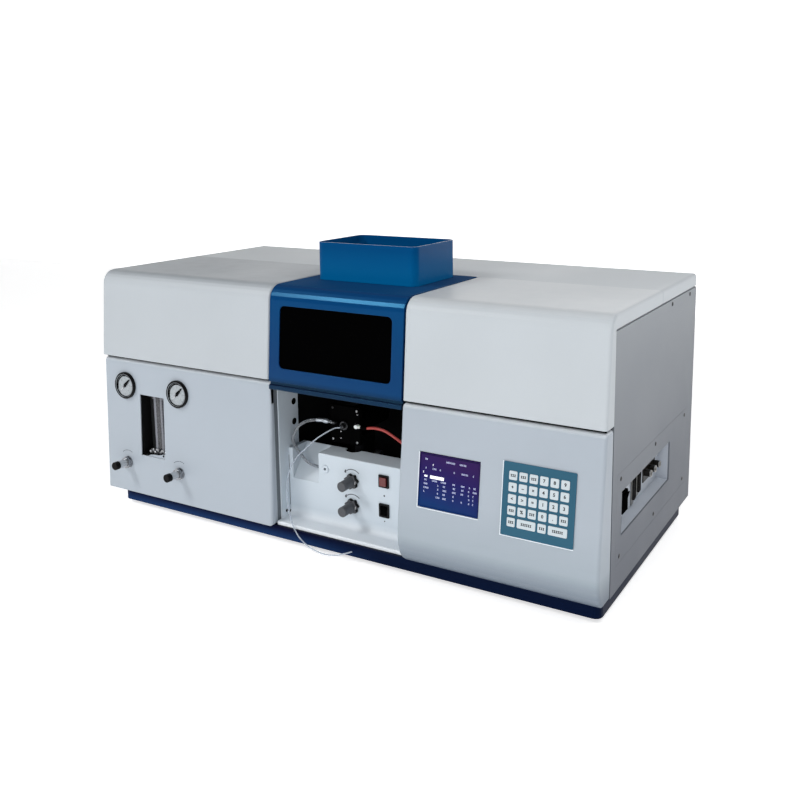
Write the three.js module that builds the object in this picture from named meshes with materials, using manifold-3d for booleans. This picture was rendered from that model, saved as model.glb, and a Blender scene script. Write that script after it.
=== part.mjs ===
// Atomic absorption spectrometer: bench instrument with a lamp bay on the left, a flame bay with a
// lifting hood in the middle and the optics, display and keypad on the right.
// Millimetres. While it is built, x runs from the left side, y from the front foot of the casing to
// the rear and z from the underside of the casing. The last lines move the origin to the middle of
// the footprint on the bench.
import * as THREE from 'three';
import { mergeVertices } from 'three/addons/utils/BufferGeometryUtils.js';
import Module from 'manifold-3d';

const wasm = await Module();
wasm.setup();

// Casing
const caseWide = 1020;
const caseDeep = 490;
const caseTall = 429;
const sheet = 2;
const seatGap = 0.3;
const panelGap = 0.9;
const edgeRound = 5;
const overrun = 4;
const waistHeight = 261;
const waistGroove = 4.8;
const lapRise = 6;
const panelDeep = 28;

// Front covers above the waist
const coverFootFront = 1;
const coverRakeShare = 0.08;
const coverBend = 26;
const coverDeep = 263.5;
const rearSeam = 0.6;
const bandTall = 22;
const bandDeep = 30;
const sideSeam = 3;
const rearRound = 8;
const rearLapTall = 12;

// Plinth and feet
const plinthTall = 21;
const plinthLeftInset = 36;
const plinthRightInset = 4.5;
const plinthFrontInset = 3;
const plinthRearInset = 40;
const plinthRound = 12;
const plinthRib = 14;
const plinthWall = 4;
const plinthRail = 6;
const plinthPockets = 4;
const footTall = 8;
const footWide = 40;
const footEndInset = 140;
const footInset = 60;
const footTread = 2.5;
const footGrooves = 3;

// Hood over the flame bay
const hoodWide = 268;
const lampSideShare = 0.5492;
const hoodGap = 2;
const hoodLipTall = 7;
const hoodLipStep = 1;
const hoodGroove = 7;
const hoodGrooveDeep = 5;
const hoodBarDeep = 13;
const hoodDrop = 15.8;
const windowSide = 21;
const windowFootGap = 22.2;
const windowTopGap = 7;
const windowRound = 9;
const paneThick = 3;
const paneLap = 7;

// Chimney on the hood
const chimneyWide = 204;
const chimneyDeep = 142;
const chimneyFront = 106;
const chimneyLeftInset = 30;
const chimneyRise = 67;
const chimneyWall = 3;
const chimneyRound = 14;

// Gas panel, lower left
const gasFootFront = -4;
const gasRakeShare = 0.037;
const panelTopRound = 8;
const gaugeAcross = 52;
const gaugeCan = 44;
const gaugeCanDeep = 26;
const gaugeRim = 5.5;
const gaugeRimWall = 3.5;
const gaugeGlassDrop = 3.2;
const gaugeDrop = 50.5;
const gaugeInset = 57.5;
const gaugePitch = 135.8;
const dialPin = 1.4;
const dialPinTall = 1.8;
const needleThick = 0.8;
const needleHub = 3.4;
const needleLong = 17;
const needleTail = 7;
const needleRest = 45;
const flowWindowLeft = 94;
const flowWindowWide = 62;
const flowWindowFoot = 78;
const flowWindowTall = 119;
const flowBoxDeep = 38;
const flowBlockWide = 44;
const flowBlockDeep = 24;
const flowBlockFoot = 10;
const flowBore = 5;
const flowFoot = 9;
const floatAcross = 8;
const floatTall = 12;
const valveHeight = 58.5;
const valveShaft = 6;
const valveNutAcross = 23;
const valveNutThick = 8;
const valveGripAcross = 15;
const valveGripLong = 17;
const valveRidges = 24;
const valveRidge = 0.6;
const valveCapAcross = 15.6;
const valveCapLong = 9.5;
const endSlotTall = 29;
const endSlotDrop = 11;
const endSlotFront = 7;

// Display panel, lower right
const displayTopFront = 1.5;
const bellyBulge = 21.5;
const screenMarginShare = 0.3182;
const screenWide = 106;
const screenFoot = 103;
const screenTall = 87.5;
const screenFrame = 1;
const screenSlack = 1.2;
const screenDrop = 1.6;
const screenBodyDeep = 18;
const keypadMarginShare = 0.3474;
const keypadWide = 115.5;
const keypadFoot = 88.5;
const keypadTall = 111.5;
const keypadTopRoom = 4.9;
const keypadFootRoom = 3.4;
const keypadThick = 1.2;
const keyRise = 0.6;
const keyWide = 13;
const keyTall = 13.4;
const keySideMargin = 10;
const keyTopMargin = 13;
const keyFootMargin = 14.7;
const keyRound = 1.2;
const keyRows = 5;
const keyColumns = 6;

// Flame bay
const cheekFront = 21;
const cheekStep = 2;
const cheekDrop = 14;
const bayFront = 76;
const baySideRoom = 15;
const bayTopGap = 1;
const beamHeight = 300;
const beamBore = 36;
const beamDepth = 181;

// White cover in front of the burner lift
const sillFront = 8;
const sillTall = 7;
const sillBend = 10;
const liftCoverFront = 46;
const liftCoverTall = 132;
const liftCoverDeep = 44;
const pocketInset = 8.4;
const pocketWide = 57;
const pocketFoot = 76;
const notchRadius = 15;
const bushingAcross = 14;
const bushingBore = 5;
const bushingInset = 14;
const bushingHeight = 104.7;
const bushingProud = 1.5;

// Burner, spray chamber and lift
const burnerInset = 103.5;
const chamberHeight = 179;
const chamberFront = 78;
const chamberCapWide = 62;
const chamberCapTall = 68;
const chamberCapThick = 8;
const chamberAcross = 48;
const chamberLong = 122;
const neckAcross = 28;
const neckTop = 256;
const burnerLong = 112;
const burnerFootAcross = 36;
const burnerFootTall = 7;
const burnerFootWide = 30;
const burnerTopWide = 14;
const burnerTall = 17;
const burnerSlotLong = 100;
const burnerSlotWide = 1.4;
const burnerSlotDeep = 11;
const burnerRibs = 6;
const burnerRibGap = 4;
const burnerRibDeep = 4;
const postAcross = 18;
const postOffset = 11;
const postFront = 98;
const liftBlockWide = 40;
const rackGap = 0.5;
const pinionAcross = 8;
const liftBlockDeep = 44;
const liftBlockTall = 40;
const liftBlockHeight = 70;
const crossTravel = 6;
const carriageWide = 64;
const carriageThick = 7;
const carriageGuideTall = 110;
const carriageGuideThick = 9;
const sprayTipAcross = 10;
const sprayTipLong = 9;
const sprayCollarAcross = 17;
const sprayCollarLong = 5;
const fuelElbowOffset = 28;
const fuelElbowRise = 2.5;
const fuelElbowAcross = 7;
const fuelElbowLong = 8;
const fuelBarbAcross = 5.6;

// Hoses and capillary
const hoseAcross = 5;
const drainAcross = 5.4;
const capillaryAcross = 2.4;
const drainOffset = 16.5;
const drainRise = 4;
const drainInset = 6;
const drainEndRoom = 1.2;
const drainEndRise = 9;
const hoseSides = 8;
const fuelHoseSteps = 30;
const drainSteps = 36;
const capillarySteps = 76;
const hosePortWide = 34;
const hosePortTall = 30;
const hosePortShare = 0.7;

// Controls on the white cover
const adjusterInset = 139.5;
const adjusterHeights = [93.5, 48.5];
const adjusterLobes = 7;
const adjusterLobe = 1.6;
const adjusterFlange = 24.5;
const adjusterFlangeThick = 7;
const adjusterAcross = 17.5;
const adjusterLong = 27;
const adjusterShaft = 6;
const switchInset = 204;
const switchWide = 20;
const igniterHeight = 104.5;
const igniterTall = 22;
const pumpHeight = 52.5;
const pumpTall = 24;
const switchRim = 2;
const switchProud = 2;
const switchBodyDeep = 16;
const buttonProud = 3.2;
const buttonTravel = 2.5;
const rockerCrown = 2;
const rockerFootShare = 0.8;
const rockerTilt = 7;
const rockerSlack = 2.4;

// Right side access plate and its recessed connector pan
const accessFront = 52;
const accessRearInset = 38;
const accessFoot = 42;
const accessTall = 142.5;
const recessFront = 76;
const recessLong = 264;
const recessFoot = 82;
const recessTall = 70;
const panDeep = 24;
const mainsSwitchInset = 36;
const mainsSwitchLong = 26;
const mainsSwitchTall = 34;
const portThick = 12.5;
const portLongs = [65, 53];
const portInsets = [120, 146];
const portFlange = 1.5;
const portShellLongShare = 0.72;
const portShellWideShare = 0.7;
const portProud = 6;
const portRimWall = 0.45;
const coaxAcross = 16;
const coaxProud = 13;
const coaxInset = 186;
const coaxPitch = 26;
const coaxCount = 3;
const coaxBodyShare = 0.75;
const coaxBoreShare = 0.5;
const coaxPinShare = 0.15;

// Rear
const louvreCount = 9;
const louvreLong = 150;
const louvreTall = 5;
const louvrePitch = 14;
const louvreOffset = 50;
const louvreTopInset = 154;
const rearLipInset = 36;
const fanAcross = 92;
const fanThick = 25;
const fanRightInset = 220;
const fanTopInset = 104;
const fanBore = 84;
const fanHub = 34;
const fanBlades = 7;
const fanBladeThick = 2;
const fanBladeAngle = 35;
const fanAxle = 6.8;
const fanTipGap = 2;
const gasPortLefts = [120, 190];
const gasPortHeight = 70;
const gasPortFlange = 24;
const gasPortFlangeThick = 4;
const gasPortNut = 17;
const gasPortNutLong = 9;
const gasPortBarb = 9;
const gasPortLong = 18;
const gasPortShank = 12;
const inletRightInset = 90;
const inletHeight = 60;
const inletWide = 50;
const inletTall = 24;
const inletFlange = 2.5;
const inletBodyWide = 28;
const inletBodyTall = 20;
const inletBodyDeep = 18;
const inletWellDeep = 14;
const inletWall = 2.5;
const inletPin = 2;

// Inside
const floorThick = 2;
const sideTray = 12;
const turretLeft = 70;
const turretDisc = 150;
const turretDiscThick = 8;
const turretReach = 55;
const turretLamps = 6;
const lampBaseAcross = 30;
const lampStemAcross = 25;
const lampWindowAcross = 32;
const lampBaseLong = 45;
const lampStemLong = 120;
const lampShoulderLong = 128;
const lampLong = 150;
const turretShaft = 16;
const standWide = 12;
const standDeep = 90;
const opticsRoom = 16;
const opticsFront = 90;
const opticsRearRoom = 70;
const opticsFoot = 100;
const opticsTopRoom = 17;
const opticsWall = 7;
const opticsRound = 6;
const opticsLegWide = 40;
const opticsFlange = 6;
const opticsFlangeThick = 8;
const slitBore = 22;
const slitSnout = 18;
const turnSides = 28;
const bendSteps = 6;
const cornerSteps = 2;
const bevelSteps = 3;

// Solid tools
function solidOf(geometry) {
  const bare = geometry.clone();
  bare.deleteAttribute('normal');
  bare.deleteAttribute('uv');
  const merged = mergeVertices(bare);
  const corners = merged.index.array;
  const spots = merged.attributes.position;
  const kept = [];
  let volume = 0;
  const a = new THREE.Vector3();
  const b = new THREE.Vector3();
  const c = new THREE.Vector3();
  for (let i = 0; i < corners.length; i += 3) {
    const [p, q, r] = [corners[i], corners[i + 1], corners[i + 2]];
    if (p !== q && q !== r && r !== p) {
      kept.push(p, q, r);
      a.fromBufferAttribute(spots, p);
      b.fromBufferAttribute(spots, q);
      c.fromBufferAttribute(spots, r);
      volume += a.dot(b.cross(c));
    }
  }
  if (volume < 0) {
    for (let i = 0; i < kept.length; i += 3) {
      [kept[i], kept[i + 1]] = [kept[i + 1], kept[i]];
    }
  }
  const vertProperties = new Float32Array(spots.array);
  const triVerts = new Uint32Array(kept);
  return new wasm.Manifold(new wasm.Mesh({ numProp: 3, vertProperties, triVerts }));
}

function geometryOf(solid) {
  const mesh = solid.getMesh();
  const geometry = new THREE.BufferGeometry();
  geometry.setAttribute('position', new THREE.BufferAttribute(new Float32Array(mesh.vertProperties), 3));
  geometry.setIndex(new THREE.BufferAttribute(new Uint32Array(mesh.triVerts), 1));
  geometry.computeVertexNormals();
  return geometry;
}

function join(...solids) {
  return solids.reduce((sum, next) => sum.add(next));
}

function cut(solid, ...tools) {
  return tools.reduce((rest, tool) => rest.subtract(tool), solid);
}

function block(x0, x1, y0, y1, z0, z1) {
  const geometry = new THREE.BoxGeometry(x1 - x0, y1 - y0, z1 - z0);
  geometry.translate((x0 + x1) / 2, (y0 + y1) / 2, (z0 + z1) / 2);
  return solidOf(geometry);
}

// A plane figure made solid along x (figure in y, z), along y (figure in x, z) or along z.
function along(axis, shape, from, to, round = 0) {
  const options = { depth: to - from - 2 * round, bevelEnabled: round > 0, curveSegments: cornerSteps };
  if (round > 0) {
    Object.assign(options, {
      bevelThickness: round, bevelSize: round, bevelOffset: -round, bevelSegments: bevelSteps,
    });
  }
  const geometry = new THREE.ExtrudeGeometry(shape, options);
  geometry.translate(0, 0, round);
  const basis = new THREE.Matrix4();
  if (axis === 'x') {
    basis.set(0, 0, 1, from, 1, 0, 0, 0, 0, 1, 0, 0, 0, 0, 0, 1);
  } else if (axis === 'y') {
    basis.set(1, 0, 0, 0, 0, 0, 1, from, 0, 1, 0, 0, 0, 0, 0, 1);
  } else {
    basis.makeTranslation(0, 0, from);
  }
  geometry.applyMatrix4(basis);
  return solidOf(geometry);
}

function figure(points) {
  return new THREE.Shape(points.map(([u, v]) => new THREE.Vector2(u, v)));
}

function roundedFigure(u0, v0, u1, v1, radius) {
  const shape = new THREE.Shape();
  shape.moveTo(u0 + radius, v0);
  shape.lineTo(u1 - radius, v0);
  shape.absarc(u1 - radius, v0 + radius, radius, -Math.PI / 2, 0);
  shape.lineTo(u1, v1 - radius);
  shape.absarc(u1 - radius, v1 - radius, radius, 0, Math.PI / 2);
  shape.lineTo(u0 + radius, v1);
  shape.absarc(u0 + radius, v1 - radius, radius, Math.PI / 2, Math.PI);
  shape.lineTo(u0, v0 + radius);
  shape.absarc(u0 + radius, v0 + radius, radius, Math.PI, 1.5 * Math.PI);
  return shape;
}

// Points of a round bend about a centre, as [u, v] pairs.
function bend(centreU, centreV, radius, startAngle, endAngle) {
  return Array.from({ length: bendSteps + 1 }, (unused, i) => {
    const angle = startAngle + ((endAngle - startAngle) * i) / bendSteps;
    return [centreU + radius * Math.cos(angle), centreV + radius * Math.sin(angle)];
  });
}

// Turned piece: the profile lists [radius, distance along the axis].
const turns = {
  up: (geometry) => geometry.rotateX(Math.PI / 2),
  front: (geometry) => geometry.rotateX(Math.PI),
  rear: (geometry) => geometry,
  right: (geometry) => geometry.rotateZ(-Math.PI / 2),
};

function turned(profile, towards, sides = turnSides) {
  const points = profile.map(([r, h]) => new THREE.Vector2(r, h));
  return solidOf(turns[towards](new THREE.LatheGeometry(points, sides)));
}

function rod(across, towards, from, to, sides = turnSides) {
  return turned([[0, from], [across / 2, from], [across / 2, to], [0, to]], towards, sides);
}

function hose(points, across, steps) {
  const path = new THREE.CatmullRomCurve3(points.map((p) => new THREE.Vector3(...p)));
  const ring = new THREE.Shape();
  for (let i = 0; i < hoseSides; i += 1) {
    const angle = (2 * Math.PI * i) / hoseSides;
    const spot = [(across / 2) * Math.cos(angle), (across / 2) * Math.sin(angle)];
    if (i === 0) {
      ring.moveTo(...spot);
    } else {
      ring.lineTo(...spot);
    }
  }
  return solidOf(new THREE.ExtrudeGeometry(ring, { steps, extrudePath: path, curveSegments: 1 }));
}

const instrument = new THREE.Group();

function add(name, solid, colour, roughness, metalness, place = {}) {
  const material = new THREE.MeshStandardMaterial({ color: colour, roughness, metalness });
  const mesh = new THREE.Mesh(geometryOf(solid), material);
  mesh.name = name;
  mesh.position.set(...(place.at ?? [0, 0, 0]));
  mesh.rotation.x = place.tilt ?? 0;
  instrument.add(mesh);
  return mesh;
}

const white = 0xc8cfd6;
const blue = 0x1c4f8c;
const navy = 0x14295a;
const black = 0x0b0b0d;
const steel = 0x9a9da1;

// Front surfaces, as the depth of the face at a height
const coverFoot = waistHeight + waistGroove;
const frontOfCover = (z) => coverFootFront + coverRakeShare * (z - coverFoot);
const frontOfGasPanel = (z) => gasFootFront + gasRakeShare * z;

// The display panel leans evenly where it carries the keypad, and bellies out below. Each share pair
// gives a height on the belly and how far the panel stands out there.
const straightTop = keypadFoot + keypadTall + keypadTopRoom;
const straightFoot = keypadFoot - keypadFootRoom;
const straightBulgeShares = [0.233, 0.874];
const bellyShares = [
  [0.706, 0.981], [0.528, 1], [0.353, 0.935], [0.199, 0.744], [0.083, 0.442], [0, 0.07],
];
const bellyHeights = [
  [waistHeight, 0], [straightTop, straightBulgeShares[0]], [straightFoot, straightBulgeShares[1]],
  ...bellyShares.map(([height, bulge]) => [height * straightFoot, bulge]),
];
function frontOfDisplayPanel(z) {
  const i = Math.max(1, bellyHeights.findIndex(([height]) => height <= z));
  const [[high, bulgeHigh], [low, bulgeLow]] = [bellyHeights[i - 1], bellyHeights[i]];
  const mix = (z - low) / (high - low);
  return displayTopFront - bellyBulge * (bulgeLow + (bulgeHigh - bulgeLow) * mix);
}

// Sheet-metal shells. An outline is given by an inset from the outer face, and by a spill that
// carries its open sides outwards.
function shell(outline, left, right, trim) {
  const outer = along('x', figure(outline(0, 2 * edgeRound)), left, right, edgeRound).intersect(trim);
  return cut(outer, along('x', figure(outline(sheet, 3 * edgeRound)), left + sheet, right - sheet));
}

function coverOutline(inset, spill) {
  const radius = coverBend - inset;
  const slope = Math.atan(coverRakeShare);
  const centreZ = caseTall - coverBend;
  const centreY = frontOfCover(centreZ) + coverBend / Math.cos(slope);
  const foot = coverFoot - spill;
  return [
    [coverDeep + spill, foot],
    [frontOfCover(foot) + inset / Math.cos(slope), foot],
    ...bend(centreY, centreZ, radius, Math.PI - slope, Math.PI / 2),
    [coverDeep + spill, caseTall - inset],
  ];
}

function belowBand(left, right) {
  const behindBand = frontOfCover(coverFoot) + bandDeep;
  return block(left - overrun, right + overrun, behindBand, coverDeep + overrun, 0, caseTall - bandTall);
}

function cover(left, right) {
  const trim = block(left, right, -caseDeep, coverDeep, coverFoot, caseTall + overrun);
  return cut(shell(coverOutline, left, right, trim), belowBand(left, right));
}

const hoodLeft = (caseWide - hoodWide) * lampSideShare;
const hoodRight = hoodLeft + hoodWide;
const lampCoverRight = hoodLeft - hoodGap;
const detectorCoverLeft = hoodRight + hoodGap;
const baySideLeft = hoodLeft - baySideRoom;
const baySideRight = hoodRight + baySideRoom;
const bayTop = caseTall - bandTall - bayTopGap;

add('lamp_cover', cover(0, lampCoverRight), white, 0.45, 0.1);
add('detector_cover', cover(detectorCoverLeft, caseWide), white, 0.45, 0.1);

// Rear top cover: a shallow lid with folded edges on all sides
function rearCover() {
  const front = coverDeep + rearSeam;
  const foot = caseTall - bandTall;
  const outline = (inset, spill) => [
    [front + inset, foot - spill],
    [front + inset, caseTall - inset],
    ...bend(caseDeep - rearRound, caseTall - rearRound, rearRound - inset, Math.PI / 2, 0),
    [caseDeep - inset, foot - spill],
  ];
  const trim = block(0, caseWide, front, caseDeep, foot, caseTall);
  const outer = along('x', figure(outline(0, 2 * edgeRound)), 0, caseWide, edgeRound);
  const square = along('x', figure(outline(0, 0)), 2 * edgeRound, caseWide - 2 * edgeRound);
  const inner = along('x', figure(outline(sheet, 2 * edgeRound)), sheet, caseWide - sheet);
  return cut(join(outer.intersect(trim), square), inner);
}
add('rear_cover', rearCover(), white, 0.45, 0.1);

// Lower front panels: trays with a lip that laps behind the cover above
function lapLip(left, right, frontTop) {
  const front = Math.max(frontTop, frontOfCover(coverFoot + lapRise) + sheet) + panelTopRound;
  const top = coverFoot + lapRise;
  return block(left + 2 * edgeRound, right - 2 * edgeRound, front, front + sheet, waistHeight - sheet, top);
}

function panelTop(frontTop, inset, spill) {
  const centreZ = waistHeight - panelTopRound;
  return [
    ...bend(frontTop + panelTopRound, centreZ, panelTopRound - inset, Math.PI, Math.PI / 2),
    [panelDeep + spill, waistHeight - inset],
  ];
}

function gasPanelOutline(inset, spill) {
  const foot = seatGap + inset;
  const frontTop = frontOfGasPanel(waistHeight - panelTopRound);
  return [
    [panelDeep + spill, foot],
    [frontOfGasPanel(foot) + inset, foot],
    ...panelTop(frontTop, inset, spill),
  ];
}

const gasTilt = Math.atan(gasRakeShare);
const gaugeLefts = [gaugeInset, gaugeInset + gaugePitch];
const gaugeHeight = waistHeight - gaugeDrop;
const onGasPanel = (x, z) => ({ at: [x, frontOfGasPanel(z) - seatGap, z], tilt: -gasTilt });

function drilledFront(across, x, z) {
  const tool = rod(across, 'front', -panelDeep, panelDeep);
  return tool.rotate([THREE.MathUtils.radToDeg(-gasTilt), 0, 0]).translate([x, frontOfGasPanel(z), z]);
}

function gasPanel() {
  const right = hoodLeft;
  const trim = block(0, right, -caseDeep, panelDeep, 0, waistHeight + overrun);
  const slotTop = waistHeight - endSlotDrop;
  const holes = gaugeLefts.flatMap((x) => [
    drilledFront(gaugeCan + 2 * seatGap, x, gaugeHeight),
    drilledFront(valveShaft + 2 * seatGap, x, valveHeight),
  ]);
  return cut(
    join(shell(gasPanelOutline, 0, right, trim), lapLip(0, right, frontOfGasPanel(waistHeight))),
    ...holes,
    block(
      flowWindowLeft, flowWindowLeft + flowWindowWide, -panelDeep, panelDeep,
      flowWindowFoot, flowWindowFoot + flowWindowTall,
    ),
    block(
      right - 2 * sheet, right + overrun, endSlotFront, endSlotFront + 3 * edgeRound,
      slotTop - endSlotTall, slotTop,
    ),
  );
}
add('gas_panel', gasPanel(), white, 0.45, 0.1);

// Pressure gauges: a can behind the panel, a black rim in front, a dial with its pivot pin
function gauge() {
  const rim = gaugeAcross / 2;
  const can = gaugeCan / 2;
  const dial = gaugeRim - gaugeGlassDrop;
  const well = rim - gaugeRimWall;
  return turned([
    [0, -gaugeCanDeep], [can, -gaugeCanDeep], [can, 0], [rim, 0],
    [rim, gaugeRim - dialPin], [rim - dialPin, gaugeRim], [well + dialPin / 2, gaugeRim], [well, dial],
    [dialPin, dial], [dialPin, dial + dialPinTall], [0, dial + dialPinTall],
  ], 'front');
}

function needle() {
  const hub = rod(2 * needleHub, 'front', 0, needleThick, 12);
  const blade = along('y', figure([
    [-needleHub / 2, -needleTail], [needleHub / 2, -needleTail], [needleHub / 4, needleLong],
    [-needleHub / 4, needleLong],
  ]), -needleThick, 0);
  const bare = cut(join(hub, blade), rod(2 * (dialPin + seatGap), 'front', -overrun, overrun, 12));
  return bare.rotate([0, needleRest, 0]);
}

const gaugeNames = ['fuel', 'air'];
gaugeNames.forEach((gas, i) => {
  const place = onGasPanel(gaugeLefts[i], gaugeHeight);
  add(`${gas}_gauge`, gauge(), black, 0.35, 0.2, place);
  const proud = gaugeRim - gaugeGlassDrop + seatGap;
  const at = [
    place.at[0],
    place.at[1] - proud * Math.cos(gasTilt),
    place.at[2] + proud * Math.sin(gasTilt),
  ];
  add(`${gas}_needle`, needle(), black, 0.5, 0, { at, tilt: -gasTilt });
});

// Flow meter: a black box behind its window, a clear block with a bore and a float in the bore
const flowFront = frontOfGasPanel(flowWindowFoot + flowWindowTall) + sheet + 2 * seatGap;
const flowLeft = flowWindowLeft - sheet;
const flowRight = flowWindowLeft + flowWindowWide + sheet;
const flowMiddle = (flowLeft + flowRight) / 2;
const flowBack = flowFront + flowBoxDeep;
const flowBlockBack = flowBack - sheet - seatGap;
const flowBlockBottom = flowWindowFoot + seatGap;
const flowBlockTop = flowWindowFoot + flowWindowTall - seatGap;

function flowBox() {
  const outer = block(
    flowLeft, flowRight, flowFront, flowBack, flowWindowFoot - sheet, flowWindowFoot + flowWindowTall + sheet,
  );
  const inner = block(
    flowLeft + sheet, flowRight - sheet, flowFront - overrun, flowBack - sheet,
    flowWindowFoot, flowWindowFoot + flowWindowTall,
  );
  return cut(outer, inner);
}
add('flowmeter_box', flowBox(), black, 0.6, 0);

function flowBlock() {
  const back = flowBlockBack;
  const front = back - flowBlockDeep;
  const middle = (front + back) / 2;
  const body = along('z', roundedFigure(
    flowMiddle - flowBlockWide / 2, front, flowMiddle + flowBlockWide / 2, back, sheet,
  ), flowBlockBottom, flowBlockTop);
  const bore = rod(2 * flowBore, 'up', flowBlockBottom + flowFoot, flowBlockTop + overrun, 16)
    .translate([flowMiddle, middle, 0]);
  const waist = block(
    flowMiddle - flowBlockWide, flowMiddle - flowBlockWide / 4, front - overrun, front + flowBore / 2,
    flowBlockBottom + flowBlockFoot, flowBlockTop - flowBlockFoot,
  );
  const otherWaist = block(
    flowMiddle + flowBlockWide / 4, flowMiddle + flowBlockWide, front - overrun, front + flowBore / 2,
    flowBlockBottom + flowBlockFoot, flowBlockTop - flowBlockFoot,
  );
  return cut(body, bore, waist, otherWaist);
}
add('flowmeter_tube', flowBlock(), 0xaab4ba, 0.15, 0);

function flowFloat() {
  const wide = floatAcross / 2;
  return turned([
    [0, 0], [wide / 2, wide / 2], [wide / 2, floatTall - wide], [wide, floatTall - wide / 2],
    [wide, floatTall], [0, floatTall],
  ], 'up', 14);
}
add('flowmeter_float', flowFloat(), steel, 0.3, 0.9, {
  at: [flowMiddle, flowBlockBack - flowBlockDeep / 2, flowBlockBottom + flowFoot + seatGap],
});

// Needle valves: a hexagonal nut on the panel and a grip with a black cap
function ringPoints(count, radiusAt) {
  return Array.from({ length: count }, (unused, i) => {
    const angle = (Math.PI * (2 * i + 1)) / count;
    return [radiusAt(i) * Math.cos(angle), radiusAt(i) * Math.sin(angle)];
  });
}

function valveNut() {
  const hexagon = figure(ringPoints(6, () => valveNutAcross / 2));
  const washer = rod(valveNutAcross, 'front', 0, valveNutThick / 4);
  const nut = join(washer, along('y', hexagon, -valveNutThick, 0));
  return cut(nut, rod(valveShaft + 2 * seatGap, 'front', -overrun, valveNutThick + overrun, 16));
}

function valveGrip() {
  const start = valveNutThick + seatGap;
  const capStart = start + valveGripLong;
  const ridges = figure(ringPoints(valveRidges, (i) => valveGripAcross / 2 - (i % 2) * valveRidge));
  const cap = valveCapAcross / 2;
  return join(
    rod(valveShaft, 'front', -panelDeep / 2, start, 16),
    along('y', ridges, -capStart, -start),
    turned([
      [0, capStart], [cap, capStart], [cap, capStart + valveCapLong - sheet / 2],
      [cap - sheet / 2, capStart + valveCapLong], [0, capStart + valveCapLong],
    ], 'front', 20),
  );
}
gaugeNames.forEach((gas, i) => {
  add(`${gas}_valve_nut`, valveNut(), steel, 0.3, 0.9, onGasPanel(gaugeLefts[i], valveHeight));
  add(`${gas}_valve_knob`, valveGrip(), 0x8f979f, 0.35, 0.5, onGasPanel(gaugeLefts[i], valveHeight));
});

// Display panel with its rolled lower edge
function displayPanelOutline(inset, spill) {
  const belly = bellyHeights.slice(1).reverse().map(([height, bulge]) => [
    displayTopFront - bellyBulge * bulge + inset,
    Math.max(height, seatGap) + (height === 0 ? inset : 0),
  ]);
  const frontTop = frontOfDisplayPanel(waistHeight - panelTopRound);
  return [[panelDeep + spill, seatGap + inset], ...belly, ...panelTop(frontTop, inset, spill)];
}

const displayLeft = hoodRight + panelGap;
const controlsRoom = caseWide - displayLeft - screenWide - keypadWide;
const screenLeft = displayLeft + controlsRoom * screenMarginShare;
const keypadLeft = caseWide - controlsRoom * keypadMarginShare - keypadWide;
const displayTilt = Math.atan(
  (bellyBulge * (straightBulgeShares[1] - straightBulgeShares[0])) / (straightTop - straightFoot),
);
const onDisplayPanel = (x, z) => ({ at: [x, frontOfDisplayPanel(z) - seatGap, z], tilt: -displayTilt });

function displayPanel() {
  const trim = block(displayLeft, caseWide, -caseDeep, panelDeep, 0, waistHeight + overrun);
  const slot = block(
    screenLeft, screenLeft + screenWide, -caseDeep, panelDeep + overrun, screenFoot, screenFoot + screenTall,
  );
  const lip = lapLip(displayLeft, caseWide, displayTopFront);
  return cut(join(shell(displayPanelOutline, displayLeft, caseWide, trim), lip), slot);
}
add('display_panel', displayPanel(), white, 0.45, 0.1);

// The screen sits in the opening of the panel, its frame just inside the edges
function display() {
  const wide = screenWide / 2 - 2 * seatGap;
  const tall = screenTall / 2 / Math.cos(displayTilt) - screenSlack;
  const frame = along('y', roundedFigure(-wide, -tall, wide, tall, screenFrame), -sheet / 2, screenBodyDeep);
  const well = along('y', roundedFigure(
    -wide + screenFrame, -tall + screenFrame, wide - screenFrame, tall - screenFrame, screenFrame / 2,
  ), -sheet, screenDrop - sheet / 2);
  return cut(frame, well);
}
const screenMiddle = onDisplayPanel(screenLeft + screenWide / 2, screenFoot + screenTall / 2);
add('display', display(), 0x2a2350, 0.2, 0, screenMiddle);

// Keypad: a thin overlay with raised keys; the last row has two double keys
function keypad() {
  const base = along('y', roundedFigure(
    -keypadWide / 2, -keypadTall / 2, keypadWide / 2, keypadTall / 2, sheet,
  ), -keypadThick, 0);
  const columnPitch = (keypadWide - 2 * keySideMargin - keyWide) / (keyColumns - 1);
  const rowPitch = (keypadTall - keyTopMargin - keyFootMargin - keyTall) / (keyRows - 1);
  const keys = [];
  for (let row = 0; row < keyRows; row += 1) {
    const lastRow = row === keyRows - 1;
    for (let column = 0; column < keyColumns; column += 1) {
      const double = lastRow && column % 3 === 1;
      const covered = lastRow && column % 3 === 2;
      if (!covered) {
        const x = -keypadWide / 2 + keySideMargin + columnPitch * column;
        const top = keypadTall / 2 - keyTopMargin - rowPitch * row;
        const wide = keyWide + (double ? columnPitch : 0);
        const face = figure([
          [x, top - keyTall + keyRound], [x + keyRound, top - keyTall],
          [x + wide - keyRound, top - keyTall], [x + wide, top - keyTall + keyRound],
          [x + wide, top - keyRound], [x + wide - keyRound, top],
          [x + keyRound, top], [x, top - keyRound],
        ]);
        keys.push(along('y', face, -keypadThick - keyRise, -keypadThick / 2));
      }
    }
  }
  return join(base, ...keys);
}
const keypadMiddle = onDisplayPanel(keypadLeft + keypadWide / 2, keypadFoot + keypadTall / 2);
add('keypad', keypad(), 0x2f6f8f, 0.4, 0, keypadMiddle);

// Hood: front, bend and top in one sheet, a grooved handle bar along its lower edge
const hoodFoot = coverFoot - hoodDrop;
const barTop = hoodFoot + hoodLipTall;
const grooveTop = barTop + hoodGroove;
const windowFoot = coverFoot + windowFootGap;
const windowTop = caseTall - coverBend - windowTopGap;

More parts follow.
